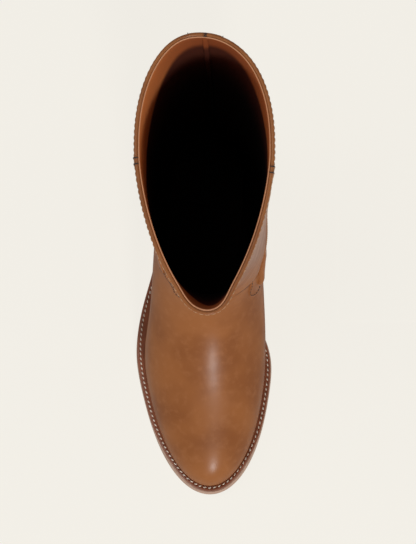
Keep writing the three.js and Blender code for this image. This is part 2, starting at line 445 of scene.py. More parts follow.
@dataclass(frozen=True)
class WaxedThread(Finish):
    """Waxed linen thread: twisted plies with a dull gleam."""

    name: str
    colour: str
    deep: str

    def inputs(self, tree: bpy.types.NodeTree) -> dict:
        """Lay out the thread's patterns.

        Args:
            tree: The material's tree.

        Returns:
            The shader's inputs.
        """
        coords = add_node(tree, "ShaderNodeTexCoord").outputs["Object"]
        # The plies are about 0.3 mm wide, and drawn at 0.5 mm.
        plies = add_node(
            tree,
            "ShaderNodeTexNoise",
            {"Vector": coords, "Scale": 1 / (0.5 * MM), "Detail": 2, "Roughness": FINER},
        )
        share = add_node(
            tree,
            "ShaderNodeMapRange",
            {"Value": plies.outputs["Fac"], "From Min": 0.35, "From Max": 0.65},
            interpolation_type="SMOOTHSTEP",
        )
        colour = add_node(
            tree,
            "ShaderNodeMix",
            {"Factor": share.outputs["Result"], 6: linear(self.deep), 7: linear(self.colour)},
            data_type="RGBA",
        )
        relief = add_node(
            tree,
            "ShaderNodeBump",
            {"Height": plies.outputs["Fac"], "Distance": 0.1 * MM, "Strength": 0.5},
        )
        return {
            "Base Color": colour.outputs[2],
            "Roughness": 0.6,
            "Sheen Weight": 0.2,
            "Normal": relief.outputs["Normal"],
        }


@dataclass(frozen=True)
class HeelRubber(Finish):
    """Moulded rubber lift: nearly black brown, matt, faintly dusty."""

    name: str = "heel_rubber"
    colour: str = "#2b211c"
    dust: str = "#4a3d34"

    def inputs(self, tree: bpy.types.NodeTree) -> dict:
        """Lay out the rubber's patterns.

        Args:
            tree: The material's tree.

        Returns:
            The shader's inputs.
        """
        coords = add_node(tree, "ShaderNodeTexCoord").outputs["Object"]
        # Dust lies in patches about 9 mm wide; the grit is 0.2 mm, and drawn at 0.8 mm.
        dust, grit = (
            add_node(
                tree,
                "ShaderNodeTexNoise",
                {"Vector": coords, "Scale": 1 / (size * MM), "Detail": octaves, "Roughness": FINER},
            ).outputs["Fac"]
            for size, octaves in ((9, 4), (0.8, 2))
        )
        share = add_node(
            tree,
            "ShaderNodeMapRange",
            {"Value": dust, "From Min": 0.5, "From Max": 0.8, "To Max": 0.6},
            interpolation_type="SMOOTHSTEP",
        )
        colour = add_node(
            tree,
            "ShaderNodeMix",
            {"Factor": share.outputs["Result"], 6: linear(self.colour), 7: linear(self.dust)},
            data_type="RGBA",
        )
        relief = add_node(
            tree, "ShaderNodeBump", {"Height": grit, "Distance": 0.05 * MM, "Strength": 0.3}
        )
        return {
            "Base Color": colour.outputs[2],
            "Roughness": 0.78,
            "Normal": relief.outputs["Normal"],
        }


@dataclass(frozen=True)
class PaperFloor(Finish):
    """Seamless studio paper on a light table: off-white, evenly lit from within."""

    name: str = "studio_paper"
    colour: str = "#f1eee7"
    glow: float = 0.93
    cover: str = "#58564f"

    def inputs(self, tree: bpy.types.NodeTree) -> dict:
        """Give the paper's finish, which is even and needs no pattern.

        Args:
            tree: The material's tree.

        Returns:
            The shader's inputs.
        """
        return {
            "Base Color": linear(self.cover),
            "Roughness": 0.9,
            "Specular IOR Level": 0.1,
            "Emission Color": linear(self.colour),
            "Emission Strength": self.glow,
        }


# The boot's shape


class SmoothTable:
    """A table of numbers whose columns are joined by natural cubic splines."""

    def __init__(self, names: tuple[str, ...], rows: tuple, knots: Array | None = None) -> None:
        """Fit the splines.

        Args:
            names: The columns' names.
            rows: One tuple of numbers for each knot.
            knots: The rows' places; the first column if left out.
        """
        values = np.array(rows, float)
        self.knots = values[:, 0] if knots is None else np.array(knots, float)
        self.columns = dict(zip(names, values.T))
        step = np.diff(self.knots)
        size = len(self.knots)
        matrix = np.eye(size)
        for i in range(1, size - 1):
            matrix[i, i - 1 : i + 2] = step[i - 1], 2 * (step[i - 1] + step[i]), step[i]
        self.bends = {}
        for name, column in self.columns.items():
            right = np.zeros(size)
            right[1:-1] = 6 * np.diff(np.diff(column) / step)
            self.bends[name] = np.linalg.solve(matrix, right)

    def __call__(self, at: Array) -> dict[str, Array]:
        """Read the whole row at places between the first knot and the last.

        Args:
            at: The places.

        Returns:
            Each column's values there.
        """
        at = np.asarray(at, float)
        i = np.clip(np.searchsorted(self.knots, at) - 1, 0, len(self.knots) - 2)
        step = self.knots[i + 1] - self.knots[i]
        right, left = at - self.knots[i], self.knots[i + 1] - at
        row = {}
        for name, column in self.columns.items():
            bend = self.bends[name]
            row[name] = (
                (bend[i] * left**3 + bend[i + 1] * right**3) / (6 * step)
                + (column[i] / step - bend[i] * step / 6) * left
                + (column[i + 1] / step - bend[i + 1] * step / 6) * right
            )
        return row


def rounded_end(from_tip: Array, depth: Array, full: Array = 2.0) -> Array:
    """Give how wide a rounded end is, from 0 at its tip to 1 at its depth behind the tip."""
    inward = np.clip(1 - from_tip / depth, 0, 1)
    return (1 - inward**full) ** (1 / full)


def lerp(first: Array, second: Array, share: Array) -> Array:
    """Mix two numbers by a share."""
    return first + (second - first) * share


def smoothstep(value: Array, low: float, high: float) -> Array:
    """Rise smoothly from 0 at low to 1 at high."""
    t = np.clip((value - low) / (high - low), 0, 1)
    return t * t * (3 - 2 * t)


class Side(Enum):
    """A side of the foot, by its sign across the boot."""

    INNER = 1
    OUTER = -1


@dataclass(frozen=True)
class Fold:
    """A soft ridge or trough in the upper, along a line seen from one side of the boot.

    Attributes:
        side: The side of the foot that it is on.
        line: Points as (along, height above the floor).
        rise: How far it stands out, or in if negative.
        width: Half of its width.
        fade: The length over which each end dies away.
        mark: How far painted shade darkens it, from 0 to 1.
    """

    side: Side
    line: tuple[tuple[float, float], ...]
    rise: float
    width: float
    fade: tuple[float, float] = (12.0, 12.0)
    mark: float = 0.0

    def share(self, across: Array, along: Array, height: Array) -> Array:
        """Give how much of the fold is felt at points on the upper.

        Args:
            across: The points' places across the boot.
            along: Their places along it.
            height: Their heights.

        Returns:
            The shares, from 0 to 1.
        """
        points = np.array(self.line, float)
        nearest = np.full(np.shape(along), 1e9)
        travelled = np.zeros(np.shape(along))
        start = 0.0
        for a, b in zip(points[:-1], points[1:]):
            run = b - a
            length = float(np.hypot(*run))
            part = ((along - a[0]) * run[0] + (height - a[1]) * run[1]) / length**2
            part = np.clip(part, 0, 1)
            gap = np.hypot(along - a[0] - part * run[0], height - a[1] - part * run[1])
            closer = gap < nearest
            nearest = np.where(closer, gap, nearest)
            travelled = np.where(closer, start + part * length, travelled)
            start += length
        ends = smoothstep(travelled, 0, self.fade[0])
        ends = ends * smoothstep(start - travelled, 0, self.fade[1])
        shown = smoothstep(across * self.side.value, 2, 9)
        return np.exp(-((nearest / self.width) ** 2)) * ends * shown


FOLDS = (
    # The slack of the shaft rolls over the instep on the inner side, above a crease darkened with
    # painted shade.
    Fold(
        Side.INNER,
        ((100, 110), (108, 112), (113, 121), (117, 133), (122, 141), (130, 139)),
        1.2,
        5.0,
    ),
    Fold(
        Side.INNER,
        ((106, 93), (113, 98), (117, 104), (121, 114), (126, 120), (133, 116)),
        -0.8,
        3.5,
        (4, 16),
        1.0,
    ),
    # A tube of slack down the inner side seam, and the creases along it and under its end, darkened
    # with painted shade.
    Fold(Side.INNER, ((92, 120), (98, 108), (106, 96), (116, 84)), 1.8, 4.6, (14, 4)),
    Fold(Side.INNER, ((99, 124), (106, 112), (113, 102)), -0.7, 1.7, (12, 2), 0.7),
    Fold(Side.INNER, ((112, 93), (118, 89), (120, 83)), -0.8, 1.8, (2, 3), 1.0),
    # Milder slack on the outer side.
    Fold(Side.OUTER, ((90, 124), (104, 121), (120, 119)), 1.0, 7.0, (16, 16)),
    Fold(Side.OUTER, ((92, 110), (106, 106), (124, 104)), -1.2, 3.6, (12, 16)),
    # Long shallow waves where the shaft stands empty.
    Fold(Side.INNER, ((40, 150), (52, 220), (50, 300)), 0.7, 14.0, (40, 40)),
    Fold(Side.INNER, ((86, 200), (92, 260), (98, 330)), -0.9, 13.0, (40, 40)),
    Fold(Side.OUTER, ((46, 140), (40, 210), (36, 290)), 0.7, 15.0, (40, 40)),
    Fold(Side.OUTER, ((92, 170), (96, 240), (104, 320)), -0.9, 13.0, (40, 40)),
    # Creases behind the ankle bone.
    Fold(Side.INNER, ((18, 150), (34, 138), (52, 134)), -0.9, 4.0, (12, 14)),
    Fold(Side.OUTER, ((18, 142), (36, 131), (56, 128)), -0.9, 4.0, (12, 14)),
    Fold(Side.INNER, ((20, 172), (38, 160), (56, 158)), -0.6, 4.0, (12, 14)),
    Fold(Side.OUTER, ((20, 166), (40, 154), (58, 151)), -0.7, 4.0, (12, 14)),
)


@dataclass
class BootForm:
    """The boot's outlines, worked out from its driving dimensions.

    The plan's columns are fractions: the place in sole lengths, then in ball widths the outsole's
    half width, its shift to the inside, the welt's width, and the upper's widest half width and
    shift. The sections are closed outlines of the upper from the sole to the collar, and the ovals
    give the leg's shape at each height.
    """

    sole_length: float = 275.0
    ball_width: float = 102.0
    heel_lift: float = 26.0
    toe_spring: float = 12.0
    ankle_height: float = 125.0
    collar_height: float = 405.0
    outsole_thick: float = 5.0
    gap: float = 0.3
    arch_start: float = 40.0
    tread_start: float = 168.0
    tread_end: float = 200.0
    heel_radius: float = 31.0
    toe_depth: float = 110.0
    heel_centre: float = 33.0
    tip_lean: float = 14.0
    collar_tip_radius: float = 14.0
    folds: tuple[Fold, ...] = FOLDS
    plan_rows: tuple = (
        (0.0, 0.304, 0.0, 0.025, 0.302, 0.0),
        (0.11, 0.306, -0.005, 0.026, 0.306, 0.0),
        (0.2, 0.316, -0.015, 0.031, 0.327, 0.0),
        (0.31, 0.32, -0.048, 0.046, 0.366, -0.003),
        (0.4, 0.345, -0.076, 0.058, 0.397, -0.003),
        (0.49, 0.412, -0.08, 0.061, 0.42, -0.006),
        (0.6, 0.497, -0.04, 0.061, 0.446, -0.019),
        (0.72, 0.5, -0.016, 0.061, 0.448, -0.013),
        (1.0, 0.5, 0.014, 0.061, 0.44, 0.014),
    )
    section_rows: tuple = (
        (0.0, 0.0127, 0.969, 0.0, 0.0),
        (0.06, 0.0055, 0.973, 0.55, 0.0),
        (0.165, 0.002, 0.96, 0.9, 0.0),
        (0.257, 0.001, 0.923, 1.0, 0.05),
        (0.335, 0.004, 0.858, 1.0, 0.12),
        (0.41, 0.0075, 0.771, 1.0, 0.22),
        (0.495, 0.013, 0.676, 1.0, 0.35),
        (0.597, 0.02, 0.593, 1.0, 0.5),
        (0.71, 0.028, 0.527, 1.0, 0.7),
        (0.845, 0.0345, 0.488, 1.0, 0.88),
        (1.0, 0.037, 0.479, 1.0, 1.0),
        (1.075, 0.0335, 0.474, 1.0, 1.0),
        (1.2, 0.018, 0.471, 1.0, 1.0),
        (1.39, -0.011, 0.478, 1.0, 1.0),
        (1.65, -0.04, 0.497, 1.0, 1.0),
        (2.0, -0.058, 0.5236, 1.0, 1.0),
    )
    oval_rows: tuple = (
        (0.0, 0.4, 0.0, 0.0, 0.0, 0.102, 2.0, 0.37, 2.0),
        (0.25, 0.4, 0.0, 0.0, 0.0, 0.113, 2.0, 0.38, 2.0),
        (0.5, 0.4, 0.0, 0.0, 0.0, 0.135, 2.0, 0.32, 2.0),
        (0.75, 0.39, 0.016, 0.0, 0.0, 0.163, 2.0, 0.235, 2.0),
        (1.0, 0.385, 0.02, 0.0, 0.0, 0.18, 2.0, 0.182, 2.0),
        (1.2, 0.38, 0.006, 0.0, 0.0, 0.187, 2.0, 0.195, 2.0),
        (1.4, 0.383, -0.002, 0.0, 0.004, 0.2, 2.0, 0.235, 2.0),
        (1.65, 0.388, -0.01, -0.01, 0.014, 0.217, 2.05, 0.3, 1.85),
        (2.0, 0.39, -0.02, -0.026, 0.016, 0.233, 2.16, 0.334, 1.6),
    )
    top_level: float = field(init=False)

    def __post_init__(self) -> None:
        """Fit the tables' splines."""
        self.widths = SmoothTable(
            ("at", "tread", "tread_shift", "margin", "body", "body_shift"), self.plan_rows
        )
        self.ovals = SmoothTable(
            ("up", "half", "shift", "rear_lean", "fore_lean")
            + ("rear", "rear_full", "fore", "fore_full"),
            self.oval_rows,
        )
        rows = []
        for up, back, front, body, leg in self.section_rows:
            ends = [share * self.sole_length for share in (back, front)]
            heights = [float(self.height_of(up, end)) for end in ends]
            rows.append((up, *ends, *heights, body, leg))
        self.sections = SmoothTable(
            ("up", "back", "front", "back_height", "front_height", "body", "leg"),
            tuple(rows),
            np.arange(len(rows)),
        )
        self.top_level = float(len(rows) - 1)

    def tread_height(self, along: Array) -> Array:
        """Give the height of the outsole's underside: heel seat, arch, flat tread, toe spring.

        Args:
            along: Places along the foot.

        Returns:
            The heights there.
        """
        along = np.asarray(along, float)
        fall = np.clip((along - self.arch_start) / (self.tread_start - self.arch_start), 0, 1)
        spring = np.maximum(0, (along - self.tread_end) / (self.sole_length - self.tread_end))
        return self.heel_lift * (1 + np.cos(np.pi * fall)) / 2 + self.toe_spring * spring**2

    def sole_top(self, along: Array) -> Array:
        """Give the height of the outsole's top."""
        return self.tread_height(along) + self.outsole_thick

    def sole_outline(self, along: Array) -> tuple[Array, Array]:
        """Give the outsole's plan.

        Args:
            along: Places along the foot.

        Returns:
            The half width and the centreline's shift there.
        """
        along = np.asarray(along, float)
        plan = self.widths(along / self.sole_length)
        ends = rounded_end(along, self.heel_radius)
        ends = ends * rounded_end(self.sole_length - along, self.toe_depth)
        return plan["tread"] * self.ball_width * ends, plan["tread_shift"] * self.ball_width

    def height_of(self, up: float, along: float) -> float:
        """Give the height of a point of a section.

        Args:
            up: 0 on the sole, 1 at the ankle and 2 at the collar.
            along: The point's place along the foot.

        Returns:
            Its height.
        """
        if up > 1:
            return lerp(self.ankle_height, self.collar_height, up - 1)
        return lerp(self.sole_top(along) + self.gap, self.ankle_height, up)

    def level_at(self, height: float) -> float:
        """Give the level of the leg's section at a height above the ankle."""
        fine = np.linspace(self.top_level - 6, self.top_level, 1201)
        return float(np.interp(height, self.sections(fine)["back_height"], fine))

    def back_turn(self, level: float) -> float:
        """Give the turn of the back seam, which drifts inwards near the collar."""
        return 0.057 * float(smoothstep(level, 10, self.top_level))

    def turn_at(self, side: Side, along: float, level: float) -> float:
        """Give the turn on one side of the upper.

        Args:
            side: The side.
            along: The place along the foot.
            level: The level.

        Returns:
            The turn.
        """
        row = self.sections(level)
        share = (along - row["back"]) / (row["front"] - row["back"])
        return side.value * float(np.arccos(np.clip(1 - 2 * share, -1, 1)))

    def point(self, across: Array, along: Array, height: Array) -> Array:
        """Stack three coordinates into points, turning "along" into the model's Y."""
        across, along, height = np.broadcast_arrays(across, along, height)
        return np.stack([across, self.heel_centre - along, height], axis=-1)

    def along_at(self, turn: Array, back: Array, front: Array) -> Array:
        """Give where a turn falls on a stretch of the foot."""
        return back + (front - back) * (1 - np.cos(turn)) / 2

    def outside(self, level: Array, turn: Array) -> Array:
        """Give points on the plain outside of the upper.

        Args:
            level: The points' levels.
            turn: Their turns.

        Returns:
            The points.
        """
        row = self.sections(level)
        oval = self.ovals(row["up"])
        back, front = row["back"], row["front"]
        along = self.along_at(turn, back, front)
        share = (along - back) / (front - back)
        plan = self.widths(np.clip(along / self.sole_length, 0, 1))
        foot_half = lerp(plan["tread"] - plan["margin"], plan["body"], row["body"])
        foot_shift = lerp(plan["tread_shift"], plan["body_shift"], row["body"])
        rear_end = rounded_end(along - back, oval["rear"] * self.sole_length, oval["rear_full"])
        fore_end = rounded_end(front - along, oval["fore"] * self.sole_length, oval["fore_full"])
        keen_half = lerp(foot_half, oval["half"], row["leg"]) * self.ball_width * fore_end
        radius = np.maximum(0.01, self.collar_tip_radius * smoothstep(row["up"], 1.5, 2))
        tip_half = radius * rounded_end(front - along, radius)
        half = rear_end * np.hypot(keen_half**4, tip_half**4) ** 0.25
        oval_shift = oval["shift"] + oval["rear_lean"] * (1 - share) ** self.tip_lean
        oval_shift = oval_shift + oval["fore_lean"] * share**self.tip_lean
        centre = lerp(foot_shift, oval_shift, row["leg"]) * self.ball_width
        chord = lerp(self.sole_top(back), self.sole_top(front), share)
        height = lerp(row["back_height"], row["front_height"], share)
        height = height + (1 - row["leg"]) * (self.sole_top(along) - chord)
        return self.point(centre + np.sign(np.sin(turn)) * half, along, height)

    def outward(self, level: Array, turn: Array) -> Array:
        """Give unit normals of the upper's outside, level at its two edges.

        Args:
            level: The points' levels.
            turn: Their turns.

        Returns:
            The normals.
        """
        step = 1e-3
        low = np.maximum(0, level - step)
        high = np.minimum(self.top_level, level + step)
        rise = self.outside(high, turn) - self.outside(low, turn)
        round_ = self.outside(level, turn + step) - self.outside(level, turn - step)
        normal = np.cross(rise, round_)
        edge = (np.asarray(level) <= 0) | (np.asarray(level) >= self.top_level)
        normal[..., 2] = np.where(edge, 0, normal[..., 2])
        return normal / np.linalg.norm(normal, axis=-1, keepdims=True)

    def skin(self, level: Array, turn: Array, depth: Array = 0.0) -> Array:
        """Give points a depth inside the upper's outside, folds included.

        Args:
            level: The points' levels.
            turn: Their turns.
            depth: Their depths.

        Returns:
            The points.
        """
        level, turn, depth = np.broadcast_arrays(level, turn, depth)
        base = self.outside(level, turn)
        along = self.heel_centre - base[..., 1]
        place = base[..., 0], along, base[..., 2]
        lift = sum(fold.rise * fold.share(*place) for fold in self.folds)
        return base + (lift - depth)[..., None] * self.outward(level, turn)

    def rolled_edge(
        self, turn: Array, level: float, depth: float, radius: float, facets: int
    ) -> list[Array]:
        """Give the rounded top edge of a wall, from its outside over to its inside.

        Args:
            turn: The points' turns.
            level: The level where the rounding starts.
            depth: How far the wall's outside lies inside the upper's.
            radius: Half of the wall's thickness.
            facets: Facets of the rounding.

        Returns:
            The rows of points between the wall's two sides.
        """
        start = self.skin(np.array([[level]]), turn, depth)
        normal = self.outward(np.array([[self.top_level]]), turn)
        rows = []
        for angle in np.linspace(0, np.pi, facets + 1)[1:-1]:
            inward = radius * (1 - math.cos(angle))
            rise = np.array([0, 0, radius * math.sin(angle)])
            rows.append(start - normal * inward + rise)
        return rows

    def crease_shade(self, points: Array) -> Array:
        """Give how far painted shade darkens the upper's creases.

        Args:
            points: Points on the upper.

        Returns:
            How dark each point is, from 0 to 1.
        """
        place = points[..., 0], self.heel_centre - points[..., 1], points[..., 2]
        marked = [fold.mark * fold.share(*place) for fold in self.folds if fold.mark]
        return smoothstep(sum(marked), 0.15, 0.8) * 0.95

    def beside_wall(self, turn: Array, depth: float, lift: float) -> Array:
        """Give points just over the sole, beside the upper's wall.

        Args:
            turn: The points' turns.
            depth: How far they lie inside the upper's outside.
            lift: How far they lie over the sole.

        Returns:
            The points.
        """
        low, high = np.zeros(np.shape(turn)), np.full(np.shape(turn), 4.0)
        for _ in range(26):
            middle = (low + high) / 2
            found = self.skin(middle, turn, depth)
            over = found[..., 2] - self.sole_top(self.heel_centre - found[..., 1]) - self.gap
            low = np.where(over < lift, middle, low)
            high = np.where(over < lift, high, middle)
        found = self.skin(low, turn, depth)
        found[..., 2] = self.sole_top(self.heel_centre - found[..., 1]) + self.gap + lift
        return found


# Mesh helpers


def turns(count: int) -> Array:
    """Give turns all the way round the boot, from the toe by the outer side."""
    return np.linspace(-np.pi, np.pi, count, endpoint=False)


def even_turns(form: BootForm, level: float, count: int) -> Array:
    """Give turns whose points lie evenly round the upper.

    Args:
        form: The boot's shape.
        level: The level of the points.
        count: How many there are.

    Returns:
        Their turns.
    """
    fine = np.linspace(-np.pi, np.pi, 4001)
    run = lengths_along(form.outside(level, fine))
    return np.interp(np.linspace(0, run[-1], count, endpoint=False), run, fine)


def lengths_along(points: Array) -> Array:
    """Give the length of a line from its first point to each of its points."""
    return np.concatenate([[0], np.cumsum(np.linalg.norm(np.diff(points, axis=0), axis=1))])


def grid_piece(
    name: str,
    rows: Array,
    material: bpy.types.Material,
    loop_rows: bool = False,
    caps: bool = False,
    ladders: bool = False,
) -> bpy.types.Object:
    """Make a closed piece from a grid of points in millimetres.

    Args:
        name: The piece's name.
        rows: Points as rows x columns x 3, each row closed on itself.
        material: The piece's material.
        loop_rows: The last row joins the first.
        caps: Each end row is closed with a fan.
        ladders: Each end row is closed across, each point joined to its mirror twin.

    Returns:
        The piece's object, at the origin.
    """
    count, width = rows.shape[:2]
    points = rows.reshape(-1, 3) * MM
    index = np.arange(count * width).reshape(count, width)
    lower = index if loop_rows else index[:-1]
    upper = np.roll(index, -1, axis=0) if loop_rows else index[1:]
    quads = np.stack(
        [lower, np.roll(lower, -1, axis=1), np.roll(upper, -1, axis=1), upper], axis=-1
    ).reshape(-1, 4)
    faces = quads.tolist()
    if caps:
        middles = [rows[0].mean(axis=0) * MM, rows[-1].mean(axis=0) * MM]
        points = np.concatenate([points, middles])
        ends = ((index[0], len(points) - 2, True), (index[-1], len(points) - 1, False))
        for row, middle, turned in ends:
            for a, b in zip(row.tolist(), np.roll(row, -1).tolist()):
                faces.append([middle, b, a] if turned else [middle, a, b])
    if ladders:
        half = width // 2
        for row, turned in ((index[0].tolist(), True), (index[-1].tolist(), False)):
            rungs = [[row[0], row[1], row[-1]], [row[half], row[half + 1], row[half - 1]]]
            rungs += [
                [row[k], row[k + 1], row[width - k - 1], row[width - k]]
                for k in range(1, half - 1)
            ]
            faces += [rung[::-1] for rung in rungs] if turned else rungs
    mesh = bpy.data.meshes.new(name)
    mesh.from_pydata(points.tolist(), [], faces)
    return dressed(name, mesh, material)


def dressed(
    name: str, mesh: bpy.types.Mesh, material: bpy.types.Material
) -> bpy.types.Object:
    """Weld a mesh, face it outwards, and put it in the scene as a piece.

    Args:
        name: The piece's name.
        mesh: Its mesh, in metres.
        material: Its material.

    Returns:
        The piece's object, at the origin.
    """
    work = bmesh.new()
    work.from_mesh(mesh)
    bmesh.ops.remove_doubles(work, verts=work.verts, dist=2e-6)
    bmesh.ops.dissolve_degenerate(work, edges=work.edges, dist=1e-7)
    bmesh.ops.recalc_face_normals(work, faces=work.faces)
    if work.calc_volume(signed=True) < 0:
        bmesh.ops.reverse_faces(work, faces=work.faces)
    for face in work.faces:
        face.smooth = True
    work.to_mesh(mesh)
    work.free()
    mesh.set_sharp_from_angle(angle=math.radians(48))
    mesh.materials.clear()
    mesh.materials.append(material)
    piece = bpy.data.objects.new(name, mesh)
    bpy.context.scene.collection.objects.link(piece)
    return piece


def placed(piece: bpy.types.Object, slot: str, *replaced: str) -> bpy.types.Object:
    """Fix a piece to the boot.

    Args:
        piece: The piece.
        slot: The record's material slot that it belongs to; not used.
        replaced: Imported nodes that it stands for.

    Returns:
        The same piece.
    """
    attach(piece, "root")
    if replaced:
        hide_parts(*replaced)
    LOG.info("%s: %d faces", piece.name, len(piece.data.polygons))
    return piece


def tube(
    name: str, paths: list[Array], radius: float, material: bpy.types.Material
) -> bpy.types.Object:
    """Make short lengths of thread as closed round tubes, as one piece.

    Args:
        name: The piece's name.
        paths: The middle line of each length, in millimetres.
        radius: The thread's radius.
        material: The thread's material.

    Returns:
        The piece's object.
    """
    facets = 8
    points, faces = [], []
    angles = np.linspace(0, 2 * np.pi, facets, endpoint=False)
    for path in paths:
        path = np.asarray(path, float)
        ahead = np.gradient(path, axis=0)
        ahead /= np.linalg.norm(ahead, axis=1, keepdims=True)
        guide = np.array([0.31, 0.22, 0.92])
        first = np.cross(ahead, guide)
        first /= np.linalg.norm(first, axis=1, keepdims=True)
        second = np.cross(ahead, first)
        start, last = len(points), len(path) - 1
        for i, middle in enumerate(path):
            slim = radius * (0.55 if i in (0, last) else 1.0)
            for angle in angles:
                aside = first[i] * math.cos(angle) + second[i] * math.sin(angle)
                points.append(tuple((middle + aside * slim) * MM))
        for i in range(last):
            for k in range(facets):
                a, b = (start + i * facets + j % facets for j in (k, k + 1))
                faces.append((a, b, b + facets, a + facets))
        faces.append(tuple(start + k for k in range(facets))[::-1])
        faces.append(tuple(start + last * facets + k for k in range(facets)))
    mesh = bpy.data.meshes.new(name)
    mesh.from_pydata(points, [], faces)
    return dressed(name, mesh, material)


@dataclass
class Ground:
    """A finished surface that seams, strips and stitches are laid on."""

    tree: BVHTree

    @classmethod
    def sheet(cls, rows: Array, inward: bool = False) -> "Ground":
        """Take one face of a wall, as a grid of points in millimetres, each row closed.

        Args:
            rows: The points, from the bottom row to the top one.
            inward: The face looks into the boot.

        Returns:
            The surface.
        """
        count, width = rows.shape[:2]
        index = np.arange(count * width).reshape(count, width)
        lower, upper = index[:-1], index[1:]
        corners = [lower, np.roll(lower, -1, axis=1), np.roll(upper, -1, axis=1), upper]
        faces = np.stack(corners if inward else corners[::-1], axis=-1).reshape(-1, 4)
        points = (rows.reshape(-1, 3) * MM).tolist()
        return cls(BVHTree.FromPolygons(points, faces.tolist()))

    def from_side(self, side: Side, along: float, height: float, form: BootForm) -> Vector:
        """Find the surface point seen straight from one side of the boot, in metres."""
        start = Vector((side.value * 0.3, (form.heel_centre - along) * MM, height * MM))
        return self.tree.ray_cast(start, Vector((-side.value, 0, 0)))[0]

    def from_above(self, across: float, along: float, form: BootForm) -> Vector:
        """Find the point of the foot seen straight from above, in metres."""
        start = Vector((across * MM, (form.heel_centre - along) * MM, 112 * MM))
        return self.tree.ray_cast(start, Vector((0, 0, -1)))[0]

    def settle(self, point: Vector) -> tuple[Vector, Vector]:
        """Drop a point onto the surface.

        Args:
            point: A point near the surface, in metres.

        Returns:
            The nearest surface point and its normal.
        """
        place, normal, _, _ = self.tree.find_nearest(point)
        return place, normal


@dataclass
class Route:
    """A line on a surface: evenly spaced points with their normals, in metres."""

    points: list[Vector]
    normals: list[Vector]
    closed: bool = False

    @classmethod
    def over(
        cls,
        ground: Ground,
        corners: list[Vector],
        step: float = 1.0,
    ) -> "Route":
        """Lay a smooth line over a surface.

        Args:
            ground: The surface.
            corners: Points that the line passes near, in metres.
            step: Spacing of the line's points in millimetres.

        Returns:
            The line.
        """
        points = np.array([tuple(c) for c in corners])
        run = lengths_along(points)
        wanted = np.linspace(0, run[-1], max(4, int(run[-1] / (step * MM))) + 1)
        row = SmoothTable(("x", "y", "z"), tuple(map(tuple, points)), run)(wanted)
        fine = np.stack([row["x"], row["y"], row["z"]], axis=1)
        settled = [ground.settle(Vector(place)) for place in fine]
        return cls([spot for spot, _ in settled], [normal for _, normal in settled])

    def tangent(self, i: int) -> Vector:
        """Give the line's direction at one of its points.

        Args:
            i: The point's number.

        Returns:
            The direction.
        """
        last = len(self.points) - 1
        if self.closed:
            before, after = self.points[i - 1], self.points[(i + 1) % (last + 1)]
        else:
            before, after = self.points[max(0, i - 1)], self.points[min(last, i + 1)]
        return (after - before).normalized()

    def raised(self, lift: float) -> "Route":
        """Give the line lifted off the surface, by a height in millimetres."""
        points = [p + n * lift * MM for p, n in zip(self.points, self.normals)]
        return Route(points, self.normals, self.closed)

    def shifted(self, ground: Ground, offset: float) -> "Route":
        """Move the line sideways along a surface.

        Args:
            ground: The surface.
            offset: How far, in millimetres.

        Returns:
            The moved line.
        """
        points, normals = [], []
        for i, (point, normal) in enumerate(zip(self.points, self.normals)):
            aside = normal.cross(self.tangent(i)).normalized()
            spot, turned = ground.settle(point + aside * offset * MM)
            points.append(spot)
            normals.append(turned)
        return Route(points, normals, self.closed)


